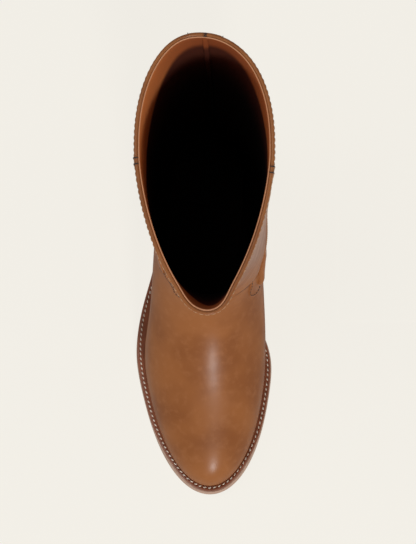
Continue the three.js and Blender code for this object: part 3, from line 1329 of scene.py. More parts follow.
@dataclass(frozen=True)
class Stitching:
    """A row of stitches, each a short length of thread with its two ends sunk in the leather.

    Attributes:
        pitch: From one stitch to the next.
        length: The thread seen on top.
        width: Its width.
        proud: How far it stands up.
        slant: How far each stitch is turned from the row, in degrees.
    """

    pitch: float
    length: float
    width: float
    proud: float
    slant: float

    def tree(self, material: bpy.types.Material) -> bpy.types.GeometryNodeTree:
        """Build the node tree that lays stitches along a line.

        Args:
            material: The thread's material.

        Returns:
            The tree, with the stitch's sizes as inputs.
        """
        tree = bpy.data.node_groups.new("stitch_row", "GeometryNodeTree")
        sockets = tree.interface
        sockets.new_socket("Geometry", in_out="INPUT", socket_type="NodeSocketGeometry")
        for name in ("Pitch", "Length", "Width", "Height", "Slant"):
            sockets.new_socket(name, in_out="INPUT", socket_type="NodeSocketFloat")
        sockets.new_socket("Geometry", in_out="OUTPUT", socket_type="NodeSocketGeometry")
        given = add_node(tree, "NodeGroupInput").outputs
        line = add_node(tree, "GeometryNodeMeshToCurve", {"Mesh": given["Geometry"]})
        spaced = add_node(
            tree,
            "GeometryNodeResampleCurve",
            {"Curve": line.outputs[0], "Length": given["Pitch"]},
            mode="LENGTH",
        )
        lay = add_node(
            tree, "GeometryNodeInputNamedAttribute", {"Name": "lay"}, data_type="FLOAT_VECTOR"
        )
        ahead = add_node(tree, "GeometryNodeInputTangent")
        facing = add_node(
            tree,
            "FunctionNodeAxesToRotation",
            {0: lay.outputs[0], 1: ahead.outputs[0]},
            primary_axis="Z",
            secondary_axis="X",
        )
        angles = add_node(tree, "ShaderNodeCombineXYZ", {"Z": given["Slant"]})
        spin = add_node(tree, "FunctionNodeEulerToRotation", {0: angles.outputs[0]})
        turned = add_node(
            tree,
            "FunctionNodeRotateRotation",
            {0: facing.outputs[0], 1: spin.outputs[0]},
            rotation_space="LOCAL",
        )
        grain = add_node(
            tree,
            "GeometryNodeMeshUVSphere",
            {"Segments": 8, "Rings": 6, "Radius": 0.5},
        )
        size = add_node(
            tree,
            "ShaderNodeCombineXYZ",
            {"X": given["Length"], "Y": given["Width"], "Z": given["Height"]},
        )
        thread = add_node(
            tree,
            "GeometryNodeTransform",
            {"Geometry": grain.outputs[0], "Scale": size.outputs[0]},
        )
        laid = add_node(
            tree,
            "GeometryNodeInstanceOnPoints",
            {
                "Points": spaced.outputs[0],
                "Instance": thread.outputs[0],
                "Rotation": turned.outputs[0],
            },
        )
        real = add_node(tree, "GeometryNodeRealizeInstances", {0: laid.outputs[0]})
        smooth = add_node(tree, "GeometryNodeSetShadeSmooth", {"Geometry": real.outputs[0]})
        painted = add_node(
            tree,
            "GeometryNodeSetMaterial",
            {"Geometry": smooth.outputs[0], "Material": material},
        )
        add_node(tree, "NodeGroupOutput", {0: painted.outputs[0]})
        return tree

    def sew(
        self, name: str, routes: list[Route], material: bpy.types.Material
    ) -> bpy.types.Object:
        """Sew along lines, as one piece.

        Args:
            name: The piece's name.
            routes: The lines.
            material: The thread's material.

        Returns:
            The stitches' object, a plain mesh at the origin.
        """
        points, edges, lays = [], [], []
        for route in routes:
            start = len(points)
            count = len(route.points)
            for point, normal in zip(route.points, route.normals):
                points.append(point + normal * self.proud * MM * 0.25)
                lays.append(normal)
            edges += [(start + i, start + i + 1) for i in range(count - 1)]
            if route.closed:
                edges.append((start + count - 1, start))
        mesh = bpy.data.meshes.new(name)
        mesh.from_pydata([tuple(p) for p in points], edges, [])
        lay = mesh.attributes.new("lay", "FLOAT_VECTOR", "POINT")
        lay.data.foreach_set("vector", [c for n in lays for c in n])
        piece = bpy.data.objects.new(name, mesh)
        bpy.context.scene.collection.objects.link(piece)
        tree = self.tree(material)
        row = piece.modifiers.new("stitches", "NODES")
        row.node_group = tree
        sizes = {
            "Pitch": self.pitch * MM,
            "Length": self.length * MM,
            "Width": self.width * MM,
            "Height": self.proud * MM * 2,
            "Slant": math.radians(self.slant),
        }
        for socket in tree.interface.items_tree:
            if socket.in_out == "INPUT" and socket.name in sizes:
                row[socket.identifier] = sizes[socket.name]
        return plain(piece)


def plain(piece: bpy.types.Object) -> bpy.types.Object:
    """Turn a piece made by node modifiers into a plain mesh.

    Args:
        piece: The piece.

    Returns:
        The same piece.
    """
    seen = piece.evaluated_get(bpy.context.evaluated_depsgraph_get())
    mesh = bpy.data.meshes.new_from_object(seen)
    piece.modifiers.clear()
    old = piece.data
    piece.data = mesh
    mesh.name = piece.name
    bpy.data.meshes.remove(old)
    return piece


@dataclass(frozen=True)
class Strip:
    """A flat strip of leather sewn on a surface, its edges skived thin.

    Attributes:
        width: Its whole width.
        thick: How far it stands up.
        sunk: How far its underside is below the surface.
        edge: The width of each skived edge.
    """

    width: float
    thick: float
    sunk: float
    edge: float

    def lay(
        self,
        name: str,
        ground: Ground,
        route: Route,
        material: bpy.types.Material,
        widths: Array | None = None,
        thicks: Array | None = None,
    ) -> bpy.types.Object:
        """Lay the strip along a line.

        Args:
            name: The piece's name.
            ground: The surface under it.
            route: Its middle line.
            material: Its leather.
            widths: Its width at each point of the line, if that changes.
            thicks: Its thickness at each point of the line, if that changes.

        Returns:
            The strip's object.
        """
        rows = []
        for i, point in enumerate(route.points):
            normal = route.normals[i]
            aside = normal.cross(route.tangent(i)).normalized()
            width = self.width if widths is None else float(widths[i])
            half = max(width / 2, 0.05)
            edge = min(self.edge, half * 0.8)
            last = len(route.points) - 1
            end = min(1.0, 0.15 + min(i, last - i) * 0.5)
            stations = [-half, -half + edge * 0.35, -half + edge]
            stations += list(np.linspace(-half + edge, half - edge, 7)[1:-1])
            stations += [half - edge, half - edge * 0.35, half]
            thick = self.thick if thicks is None else float(thicks[i])
            lifts = [0.15, 0.75, 1.0, *[1.0] * 5, 1.0, 0.75, 0.15]
            if thick > 1:
                lifts = [math.sqrt(max(0.02, 1 - (a / half) ** 2)) for a in stations]
            top, under = [], []
            for across, lift in zip(stations, lifts):
                spot, up = ground.settle(point + aside * across * MM)
                top.append(tuple(spot + up * thick * lift * end * MM))
                under.append(tuple(spot - up * self.sunk * MM))
            rows.append(top + under[::-1])
        return grid_piece(name, np.array(rows) / MM, material, caps=True)


# The boot's parts


@dataclass
class Upper:
    """The leather upper: vamp, quarters and shaft in one shell, folded in at the collar.

    Attributes:
        form: The boot's shape.
        columns: Points round the shell.
        rows: Rows up its outside, half of them on the foot.
        foot_top: The level where the foot's rows end.
        thick: The leather's thickness.
        edge_thick: The rolled edge's.
    """

    form: BootForm
    columns: int = 300
    rows: int = 190
    foot_top: float = 9.0
    thick: float = 1.5
    edge_thick: float = 2.2

    def shell(self, leather: bpy.types.Material) -> bpy.types.Object:
        """Build the leather shell, with its rounded collar edge.

        Args:
            leather: The upper's leather.

        Returns:
            The shell, its creases marked for the painted shade in the leather.
        """
        form = self.form
        turn = turns(self.columns)[None, :]
        radius = self.edge_thick / 2
        top = form.level_at(form.collar_height - radius)
        foot = np.linspace(0, self.foot_top, self.rows // 2)
        levels = np.concatenate([foot, np.linspace(self.foot_top, top, self.rows // 2 + 1)[1:]])
        outer = form.skin(levels[:, None], turn)
        brim = form.rolled_edge(turn, top, 0.0, radius, 8)
        inner_levels = levels[::-3]
        share = smoothstep(inner_levels, top - 0.25, top)
        depths = lerp(self.thick, self.edge_thick, share)
        inner = form.skin(inner_levels[:, None], turn, depths[:, None])
        rows = np.concatenate([outer, *brim, inner])
        piece = grid_piece("upper_leather", rows, leather, loop_rows=True)
        mesh = piece.data
        # The creases' painted shade, for the leather's colour.
        spots = np.zeros(len(mesh.vertices) * 3)
        mesh.vertices.foreach_get("co", spots)
        dark = form.crease_shade(spots.reshape(-1, 3) / MM).astype(np.float32)
        mark = mesh.attributes.new("crease_shade", "FLOAT", "POINT")
        mark.data.foreach_set("value", dark)
        return piece

    def ground(self) -> Ground:
        """Give the leather's outer face, for what is sewn on it."""
        levels = np.linspace(0, self.form.level_at(self.form.collar_height - 0.3), 320)
        return Ground.sheet(self.form.skin(levels[:, None], turns(self.columns)[None, :]))


@dataclass
class Lining:
    """The lining of the shaft and foot, just inside the leather.

    Attributes:
        form: The boot's shape.
        columns: Points round the lining.
        rows: Rows up its inside.
        low_level: The level where it starts, just clear of the sole.
        outer_depth: From the upper's outside to the lining's outer face, at the collar.
        inner_depth: To its inner face there.
        body_depths: The same two depths below the collar.
    """

    form: BootForm
    columns: int = 220
    rows: int = 110
    low_level: float = 0.02
    outer_depth: float = 2.22
    inner_depth: float = 3.1
    body_depths: tuple[float, float] = (1.6, 2.4)

    def shell(self, leather: bpy.types.Material) -> bpy.types.Object:
        """Build the lining, thicker at its folded top edge.

        Args:
            leather: The lining's leather.

        Returns:
            The lining.
        """
        form = self.form
        turn = turns(self.columns)[None, :]
        radius = (self.inner_depth - self.outer_depth) / 2
        top = form.level_at(form.collar_height - radius - 0.35)
        levels = np.linspace(self.low_level, top, self.rows)
        near_top = smoothstep(levels, top - 0.2, top)
        outer_depths = lerp(self.body_depths[0], self.outer_depth, near_top)
        inner_depths = lerp(self.body_depths[1], self.inner_depth, near_top)
        outer = form.skin(levels[::2, None], turn, outer_depths[::2, None])
        brim = form.rolled_edge(turn, top, self.outer_depth, radius, 6)
        inner = form.skin(levels[::-1, None], turn, inner_depths[::-1, None])
        rows = np.concatenate([outer, *brim, inner])
        return grid_piece("shaft_lining", rows, leather, loop_rows=True)

    def back_strip(self, leather: bpy.types.Material) -> bpy.types.Object:
        """Build the flat strip that covers the lining's back seam.

        Args:
            leather: The strip's leather.

        Returns:
            The strip.
        """
        form = self.form
        levels = np.linspace(9, form.level_at(form.collar_height - 0.6), 160)
        face = form.skin(levels[:, None], turns(self.columns)[None, :], self.inner_depth)
        ground = Ground.sheet(face, inward=True)
        turn = form.back_turn(form.top_level)
        levels = np.linspace(form.level_at(form.collar_height - 1.2), 10.5, 24)
        spots = form.skin(levels, np.full(24, turn), self.inner_depth)
        route = Route.over(ground, [Vector(p * MM) for p in spots], 2.0)
        return Strip(3.4, 0.9, 0.4, 0.9).lay("lining_back_strip", ground, route, leather)


# The side seams as (along, height) points, from the collar down to the ankle.
SIDE_SEAMS = {
    Side.INNER: (
        *((62, 402), (63, 300), (67, 220), (76, 166)),
        *((86, 136), (96, 112), (106, 96), (116, 85)),
    ),
    Side.OUTER: (
        *((57, 402), (59, 300), (64, 220), (76, 170)),
        *((92, 140), (104, 127), (112, 119)),
    ),
}
# The tabs below them: (across, along) on the inner side, (along, height) on the outer.
ANKLE_TABS = {
    Side.INNER: ((36.0, 110), (35.0, 115), (33.4, 120.5), (31.2, 126.8)),
    Side.OUTER: ((109, 124), (115, 117), (121, 110), (127, 102)),
}


@dataclass
class Seams:
    """Everything sewn on the upper: collar topstitch, side seams, back stay, ankle tabs.

    Attributes:
        form: The boot's shape.
        ground: The upper's outer face.
        collar_drop: From the collar's edge down to the topstitch.
        seam_gap: From the middle of a side seam to each row of its stitches.
        seam_width: The side seams' strip.
        seam_thick: How far it stands up.
        seam_end: The length of each side seam, at its lower end, that has no stitches.
        stay_foot: The height of the back stay's foot.
        stay_widths: Its width at the collar and at its foot.
        stay_thick: How far it stands up.
        swell_run: Where the slack's swelling is full and where it ends, from the seam's end.
        swell_width: The side seams' strip where it swells with slack.
        swell_thick: How far it stands up there.
        stitch_inset: From the edge of the stay, and of a tab, to its stitches.
        tab_thick: How far the ankle tabs stand up.
        tab_radius: Half of each tab's width.
        top_row: The collar's topstitch.
        seam_row: The rows on side seams and back stay.
        tab_row: The row on a tab.
    """

    form: BootForm
    ground: Ground
    collar_drop: float = 3.4
    seam_gap: float = 1.75
    seam_width: float = 6.4
    seam_thick: float = 0.5
    seam_end: int = 40
    stay_foot: float = 58.0
    stay_widths: tuple[float, float] = (20.0, 14.0)
    stay_thick: float = 0.6
    swell_run: tuple[float, float] = (10.0, 44.0)
    swell_width: float = 7.4
    stitch_inset: tuple[float, float] = (1.8, 1.6)
    tab_thick: float = 0.9
    swell_thick: dict[Side, float] = field(
        default_factory=lambda: {Side.INNER: 2.8, Side.OUTER: 1.0}
    )
    tab_radius: dict[Side, float] = field(
        default_factory=lambda: {Side.INNER: 11.0, Side.OUTER: 5.2}
    )
    top_row: Stitching = Stitching(3.5, 2.6, 0.8, 0.36, 6)
    seam_row: Stitching = Stitching(3.4, 2.6, 0.75, 0.3, 5)
    tab_row: Stitching = Stitching(2.6, 2.0, 0.75, 0.3, 4)

    def collar_route(self) -> Route:
        """Give the topstitch's line round the collar, its points about 1 mm apart.

        Returns:
            The line.
        """
        form = self.form
        level = form.level_at(form.collar_height - self.collar_drop)
        turn = even_turns(form, level, 385)
        points = form.skin(np.full(turn.shape, level), turn) * MM
        normals = form.outward(np.full(turn.shape, level), turn)
        return Route([Vector(p) for p in points], [Vector(n) for n in normals], True)

    def back_route(self, low: float, high: float) -> Route:
        """Give the line down the middle of the back.

        Args:
            low: The height of its foot.
            high: The height of its top.

        Returns:
            The line.
        """
        form = self.form
        levels = np.linspace(form.level_at(high), 1.0, 60)
        drift = np.array([form.back_turn(level) for level in levels])
        spots = form.skin(levels, drift)
        spots = spots[spots[:, 2] > low]
        return Route.over(self.ground, [Vector(p * MM) for p in spots], 1.5)

    def over_edge(self, turn: float, proud: float = 0.3, drop: float = 3.0) -> Array:
        """Give the path of a thread that passes over the collar's edge.

        Args:
            turn: Its turn.
            proud: How far it stands out at the edge.
            drop: From the edge down to the thread's foot.

        Returns:
            The path's points, from the outside in.
        """
        form = self.form
        low = form.level_at(form.collar_height - drop)
        brim = form.level_at(form.collar_height - 1.1)
        outward = form.outward(np.array(form.top_level), np.array(turn))
        foot = form.skin(np.array(low), np.array(turn), -0.1)
        edge = form.skin(np.array(brim), np.array(turn), 0.0)
        up = np.array([0, 0, 1.0])
        return np.array(
            [
                foot,
                edge + outward * proud,
                edge + outward * (proud * 0.6 - 0.3) + up * 0.95,
                edge - outward * 1.1 + up * 1.25,
                edge - outward * 2.3 + up * 0.7,
            ]
        )

    def tacks(self, thread: bpy.types.Material) -> list[bpy.types.Object]:
        """Tie the seams off at the collar.

        Args:
            thread: The thread of the ties.

        Returns:
            The ties at the side seams, at the back stay and at the back seam.
        """
        form = self.form
        level = form.top_level
        paths = []
        for side in (Side.OUTER, Side.INNER):
            for aside in (-self.seam_gap, self.seam_gap):
                along = SIDE_SEAMS[side][0][0] + aside
                paths.append(self.over_edge(form.turn_at(side, along, level)))
        made = [tube("collar_tacks", paths, 0.42, thread)]
        ends = [self.over_edge(turn, 0.35, 2.0)[:3] for turn in (-0.13, 0.25)]
        made.append(tube("stay_thread_ends", ends, 0.3, thread))
        turn = np.array(form.back_turn(level))
        outward = form.outward(np.array(level), turn)
        brim = form.outside(np.array(level), turn) + np.array([0, 0, 0.2])
        ahead = np.array([1.0, 0.12, 0])
        corners = ((-1.1, -0.7), (1.0, -0.6), (-0.9, -2.3), (1.2, -2.4))
        path = [brim + ahead * a + outward * r for a, r in corners]
        runs = [np.linspace(a, b, 5)[:-1] for a, b in zip(path, path[1:])]
        fine = np.concatenate([*runs, path[-1:]])
        made.append(tube("back_tie", [fine], 0.28, thread))
        return made

    def tab(
        self, side: Side, line: tuple, leather: bpy.types.Material, thread: bpy.types.Material
    ) -> list[bpy.types.Object]:
        """Build the rounded stitched tab that ends a side seam.

        Args:
            side: The side of the foot.
            line: The tab's middle line, its tip last: (across, along) points on the inner side
                and (along, height) points on the outer.
            leather: Its leather.
            thread: Its thread.

        Returns:
            The tab and its stitches.
        """
        if side is Side.INNER:
            corners = [self.ground.from_above(x, s, self.form) for x, s in line]
        else:
            corners = [self.ground.from_side(side, s, z, self.form) for s, z in line]
        route = Route.over(self.ground, corners, 1.0)
        count = len(route.points)
        left = np.arange(count)[::-1] * 1.0
        radius, thick = self.tab_radius[side], self.tab_thick
        widths = 2 * radius * rounded_end(left, radius)
        label = side.name.lower()
        strip = Strip(2 * radius, thick, 0.6, 0.7)
        made = strip.lay(f"ankle_tab_{label}", self.ground, route, leather, widths)
        inset = radius - self.stitch_inset[1]
        last = max(1, count - 1 - int(radius))
        asides = [n.cross(route.tangent(i)).normalized() for i, n in enumerate(route.normals)]
        path = [route.points[i] + asides[i] * inset * MM for i in range(last)]
        for angle in np.linspace(0, np.pi, 11):
            reach = asides[last] * math.cos(angle) + route.tangent(last) * math.sin(angle)
            path.append(route.points[last] + reach * inset * MM)
        path += [route.points[i] - asides[i] * inset * MM for i in range(last - 1, -1, -1)]
        seam = Route.over(self.ground, path, 0.8).raised(thick)
        return [made, self.tab_row.sew(f"ankle_tab_stitches_{label}", [seam], thread)]

    def side_seam(
        self, side: Side, line: tuple, leather: bpy.types.Material, thread: bpy.types.Material
    ) -> list[bpy.types.Object]:
        """Build one side seam: a narrow strip, rounded into a welt of slack at its lower end.

        Args:
            side: The side of the foot.
            line: The seam as (along, height) points, from the collar down.
            leather: The strip's leather.
            thread: Its thread.

        Returns:
            The strip and its two rows of stitches.
        """
        corners = [self.ground.from_side(side, s, z, self.form) for s, z in line]
        route = Route.over(self.ground, corners, 1.0)
        left = np.arange(len(route.points))[::-1] * 1.0
        swell = 1 - smoothstep(left, *self.swell_run)
        widths = lerp(self.seam_width, self.swell_width, swell) * rounded_end(left, 3.0) ** 0.5
        thicks = lerp(self.seam_thick, self.swell_thick[side], swell)
        label = side.name.lower()
        strip = Strip(self.seam_width, self.seam_thick, 0.5, 0.7)
        made = [strip.lay(f"side_seam_{label}", self.ground, route, leather, widths, thicks)]
        sewn = Route(route.points[: -self.seam_end], route.normals[: -self.seam_end])
        gaps = (self.seam_gap, -self.seam_gap)
        rows = [sewn.shifted(self.ground, gap).raised(self.seam_thick) for gap in gaps]
        made.append(self.seam_row.sew(f"side_stitches_{label}", rows, thread))
        return made

    def back_stay(
        self, leather: bpy.types.Material, thread: bpy.types.Material
    ) -> list[bpy.types.Object]:
        """Build the strip down the back with a row of stitches along each edge.

        Args:
            leather: Its leather.
            thread: Its thread.

        Returns:
            The strip and its stitches.
        """
        back = self.back_route(self.stay_foot, self.form.collar_height - 0.8)
        widths = np.linspace(*self.stay_widths, len(back.points))
        strip = Strip(self.stay_widths[0], self.stay_thick, 0.5, 0.9)
        made = [strip.lay("back_stay", self.ground, back, leather, widths)]
        rows = []
        for sign in (1, -1):
            points = []
            for i, (point, normal) in enumerate(zip(back.points, back.normals)):
                aside = normal.cross(back.tangent(i)).normalized()
                reach = widths[i] / 2 - self.stitch_inset[0]
                points.append(point + aside * sign * reach * MM)
            rows.append(Route.over(self.ground, points[3::6], 1.0).raised(self.stay_thick))
        made.append(self.seam_row.sew("back_stay_stitches", rows, thread))
        return made

    def pieces(
        self,
        leather: bpy.types.Material,
        thread: bpy.types.Material,
        dark: bpy.types.Material,
    ) -> list[bpy.types.Object]:
        """Build every seam, strip and tab.

        Args:
            leather: The strips' leather.
            thread: The thread of the rows.
            dark: The thread of the tacks at the collar.

        Returns:
            The pieces.
        """
        made = [self.top_row.sew("collar_topstitch", [self.collar_route()], thread)]
        for side in Side:
            made += self.side_seam(side, SIDE_SEAMS[side], leather, thread)
            made += self.tab(side, ANKLE_TABS[side], leather, dark)
        made += self.back_stay(leather, thread)
        made += self.tacks(dark)
        return made


# The rows of the welt's section that make its channel's floor.
CHANNEL_FLOOR = (7, 8)


@dataclass
class Welt:
    """The stitched welt between the upper and the outsole.

    Attributes:
        form: The boot's shape.
        columns: Points round the welt.
        thick: Its thickness.
        channel_inset: From its edge to the middle of the stitches' channel.
        channel_depth: The channel's depth.
        draw: How far the forefoot's edge lies inside the sole's outline.
        toe_draw: How far the toe's edge does.
        row: Its stitches.
    """

    form: BootForm
    columns: int = 360
    thick: float = 3.2
    channel_inset: float = 2.9
    channel_depth: float = 0.55
    draw: float = 1.0
    toe_draw: float = 3.2
    row: Stitching = Stitching(3.7, 2.6, 1.05, 0.55, 20)

    def edge(self, turn: Array) -> Array:
        """Give the outline of the welt's outer edge.

        Args:
            turn: The turns of its points.

        Returns:
            The points as (across, along) pairs.
        """
        form = self.form
        along = form.along_at(turn, 0, form.sole_length)
        half, centre = form.sole_outline(along)
        outline = np.stack([centre + np.sign(np.sin(turn)) * half, along], axis=-1)
        ahead = np.roll(outline, -1, axis=0) - np.roll(outline, 1, axis=0)
        ahead = ahead / np.linalg.norm(ahead, axis=-1, keepdims=True)
        inward = np.stack([ahead[:, 1], -ahead[:, 0]], axis=-1)
        middle = np.stack([np.zeros(len(turn)), np.full(len(turn), 140.0)], axis=-1)
        flip = np.sign(np.sum(inward * (middle - outline), axis=-1, keepdims=True))
        draw = self.draw * smoothstep(along, 120, 180)
        draw = draw + (self.toe_draw - self.draw) * smoothstep(along, 215, 266)
        return outline + inward * flip * draw[:, None]

    def section(self) -> Array:
        """Walk round the welt's cross-section, at every turn.

        Returns:
            The welt's rows of points. The two rows of the channel's floor are CHANNEL_FLOOR.
        """
        form = self.form
        turn = turns(self.columns)
        foot_low = form.beside_wall(turn, -0.05, 0.0)
        foot_high = form.beside_wall(turn, -0.05, self.thick - 0.5)
        outer = self.edge(turn)
        room = np.linalg.norm(outer - self.flat(foot_high), axis=-1)
        channel = np.minimum(self.channel_inset, room * 0.55)
        profile = [
            (0.0, 0.0, 0.0),
            (0.0, 0.6, 0.0),
            (0.0, self.thick - 0.7, 0.0),
            (0.25, self.thick - 0.2, 0.0),
            (0.75, self.thick, 0.0),
            (-0.9, self.thick, 1.0),
            (-0.45, self.thick - self.channel_depth, 1.0),
            (0.45, self.thick - self.channel_depth, 1.0),
            (0.9, self.thick, 1.0),
        ]
        rows = [foot_low]
        for inset, height, on_channel in profile:
            drawn = inset + channel * on_channel
            line = outer + (self.flat(foot_high) - outer) * (drawn / room)[:, None]
            along = line[:, 1]
            rows.append(form.point(line[:, 0], along, form.sole_top(along) + form.gap + height))
        rows.append(foot_high)
        return np.stack(rows)

    def flat(self, points: Array) -> Array:
        """Turn points into (across, along) pairs."""
        return np.stack([points[:, 0], self.form.heel_centre - points[:, 1]], axis=-1)

    def strip(self, leather: bpy.types.Material) -> bpy.types.Object:
        """Build the welt, with a channel for its stitches."""
        return grid_piece("welt_strip", self.section(), leather, loop_rows=True)

    def stitches(self, thread: bpy.types.Material) -> bpy.types.Object:
        """Sew the welt to the sole.

        Args:
            thread: The thread.

        Returns:
            The stitches.
        """
        middle = self.section()[list(CHANNEL_FLOOR)].mean(axis=0)
        loop = np.concatenate([middle, middle[:1]])
        run = lengths_along(loop)
        wanted = np.arange(0, run[-1], 1.0)
        fine = np.stack([np.interp(wanted, run, loop[:, k]) for k in range(3)], axis=1)
        points = [Vector(p * MM) for p in fine]
        normals = []
        for p in fine:
            along = self.form.heel_centre - p[1]
            slope = float(self.form.sole_top(along + 1) - self.form.sole_top(along - 1)) / 2
            normals.append(Vector((0, slope, 1)).normalized())
        return self.row.sew("welt_stitches", [Route(points, normals, True)], thread)


@dataclass
class Outsole:
    """The leather outsole, with the pale line between it and the welt."""

    form: BootForm
    columns: int = 300
    thick: float = 5.0

    def rings(self) -> list[Array]:
        """Give the outsole's closed rings.

        Returns:
            The rings' points, from underneath to the top.
        """
        form = self.form
        turn = turns(self.columns)
        # The sole's own edge stands a little past the welt's, more so lower down.
        under_welt = Welt(form).edge(turn)
        full = Welt(form, draw=0.0, toe_draw=0.0).edge(turn)
        profile = (
            (26.0, 0.0),
            (6.0, 0.0),
            (5.3, 0.0),
            (5.0, 0.25),
            (4.7, 0.0),
            (0.9, 0.0),
            (0.25, 0.3),
            (0.0, 0.9),
            (0.0, 2.6),
            (0.0, self.thick - 0.2),
            (0.35, self.thick + 0.35),
            (8.0, self.thick + 0.35),
            (26.0, self.thick + 0.35),
        )
        rings = []
        for inset, height in profile:
            line = lerp(under_welt, full, 1.0 - 0.55 * height / self.thick)
            inside = np.clip(line[:, 1], 20, 250)
            spine = np.stack([form.sole_outline(inside)[1], inside], axis=-1)
            room = np.linalg.norm(line - spine, axis=-1)
            share = np.minimum(inset / np.maximum(room, 1e-6), 0.98)
            drawn = line + (spine - line) * share[:, None]
            along = np.clip(drawn[:, 1], 0, form.sole_length)
            rings.append(form.point(drawn[:, 0], along, form.tread_height(along) + height))
        return rings

    def slab(self, leather: bpy.types.Material) -> bpy.types.Object:
        """Build the outsole, with a closed stitch channel underneath."""
        return grid_piece("outsole_leather", np.stack(self.rings()), leather, ladders=True)


@dataclass
class Sock:
    """The sock: a thin leather lining over the insole, inside the boot."""

    form: BootForm
    columns: int = 240
    thick: float = 3.0
    ease: float = 2.7

    def slab(self, leather: bpy.types.Material) -> bpy.types.Object:
        """Build the sock with its insole as one slab.

        Args:
            leather: The sock's leather.

        Returns:
            The slab.
        """
        form = self.form
        turn = turns(self.columns)
        rows = []
        for lift, inset in ((0.0, 0.0), (self.thick - 0.6, 0.0), (self.thick, 0.6)):
            ring = form.beside_wall(turn, self.ease, lift)
            spine = form.point(0, np.clip(form.heel_centre - ring[:, 1], 30, 240), ring[:, 2])
            gap = spine - ring
            reach = np.linalg.norm(gap, axis=-1, keepdims=True)
            rows.append(ring + gap * (inset / reach))
        return grid_piece("sock", np.stack(rows), leather, ladders=True)


@dataclass
class Heel:
    """The stacked leather heel and its rubber top piece.

    Attributes:
        form: The boot's shape.
        breast: How far forward the heel's front face is, under the sole.
        hollow: How deep that face is scooped.
        taper_back: How far the back is drawn in by the ground.
        taper_side: How far each side is.
        taper_breast: How far the front face is.
        inset: How far the seat is drawn in from the sole's edge.
        top_piece_thick: The rubber's thickness.
        lift_thick: One lift's thickness.
        line_depth: How deep the lines between the lifts are.
        facets: Faces along each quarter of the outline.
    """

    form: BootForm
    breast: float = 62.0
    hollow: float = 4.0
    taper_back: float = 3.5
    taper_side: float = 1.6
    taper_breast: float = 2.5
    inset: float = 0.6
    top_piece_thick: float = 6.0
    lift_thick: float = 4.9
    line_depth: float = 0.3
    facets: int = 30

    def outline(self, height: float, drawn_in: float = 0.0) -> Array:
        """Give the heel's outline.

        Args:
            height: Its height over the ground.
            drawn_in: How far it is drawn in.

        Returns:
            The points as (across, along) pairs.
        """
        form = self.form
        drawn = 1 - height / form.heel_lift
        back = self.inset + self.taper_back * drawn + drawn_in
        breast = self.breast - self.taper_breast * drawn - drawn_in
        side_inset = self.inset + self.taper_side * drawn + drawn_in
        share = 1 - np.cos(np.linspace(0, np.pi / 2, self.facets + 1))
        half, centre = form.sole_outline(share * self.breast)
        half = half - side_inset * rounded_end(share * self.breast, form.heel_radius)
        half = np.maximum(half, 0)
        along = back + (breast - back) * share
        inner = np.stack([centre + half, along], axis=-1)[:0:-1]
        outer = np.stack([centre - half, along], axis=-1)
        across = np.linspace(outer[-1, 0], inner[0, 0], self.facets + 1)[1:-1]
        bow = np.linspace(0, 1, self.facets + 1)[1:-1]
        front = np.stack([across, breast - 4 * self.hollow * bow * (1 - bow)], axis=-1)
        return np.concatenate([inner, outer, front])

    def ring(self, height: float, drawn_in: float = 0.0, seat: bool = False) -> Array:
        """Give a closed ring of the heel.

        Args:
            height: Its height over the ground.
            drawn_in: How far it is drawn in.
            seat: The ring lies just under the outsole instead.

        Returns:
            Its points.
        """
        outline = self.outline(height, drawn_in)
        form = self.form
        over = form.tread_height(outline[:, 1]) - form.gap if seat else height
        return form.point(outline[:, 0], outline[:, 1], over)

    def stack(self, leather: bpy.types.Material) -> bpy.types.Object:
        """Build the stack, with a fine line between its lifts.

        Args:
            leather: Its leather.

        Returns:
            The stack.
        """
        form = self.form
        low = self.top_piece_thick + form.gap
        rows = [self.ring(low, 0.4), self.ring(low + 0.4)]
        height = low + self.lift_thick
        deep = self.line_depth
        while height < form.heel_lift - 2:
            for step, depth in ((-0.3, 0.0), (-0.05, deep), (0.05, deep), (0.3, 0.0)):
                rows.append(self.ring(height + step, depth))
            height += self.lift_thick
        rows.append(self.ring(form.heel_lift, seat=True))
        return grid_piece("heel_stack", np.stack(rows), leather, caps=True)

    def top_piece(self, rubber: bpy.types.Material) -> bpy.types.Object:
        """Build the rubber top piece, its ground edge rounded.

        Args:
            rubber: Its rubber.

        Returns:
            The top piece.
        """
        top = self.top_piece_thick
        profile = ((0.0, 1.0), (0.12, 0.45), (0.5, 0.1), (1.0, 0.0), (top - 0.3, 0.0), (top, 0.25))
        rows = [self.ring(height, drawn_in) for height, drawn_in in profile]
        return grid_piece("heel_top", np.stack(rows), rubber, caps=True)


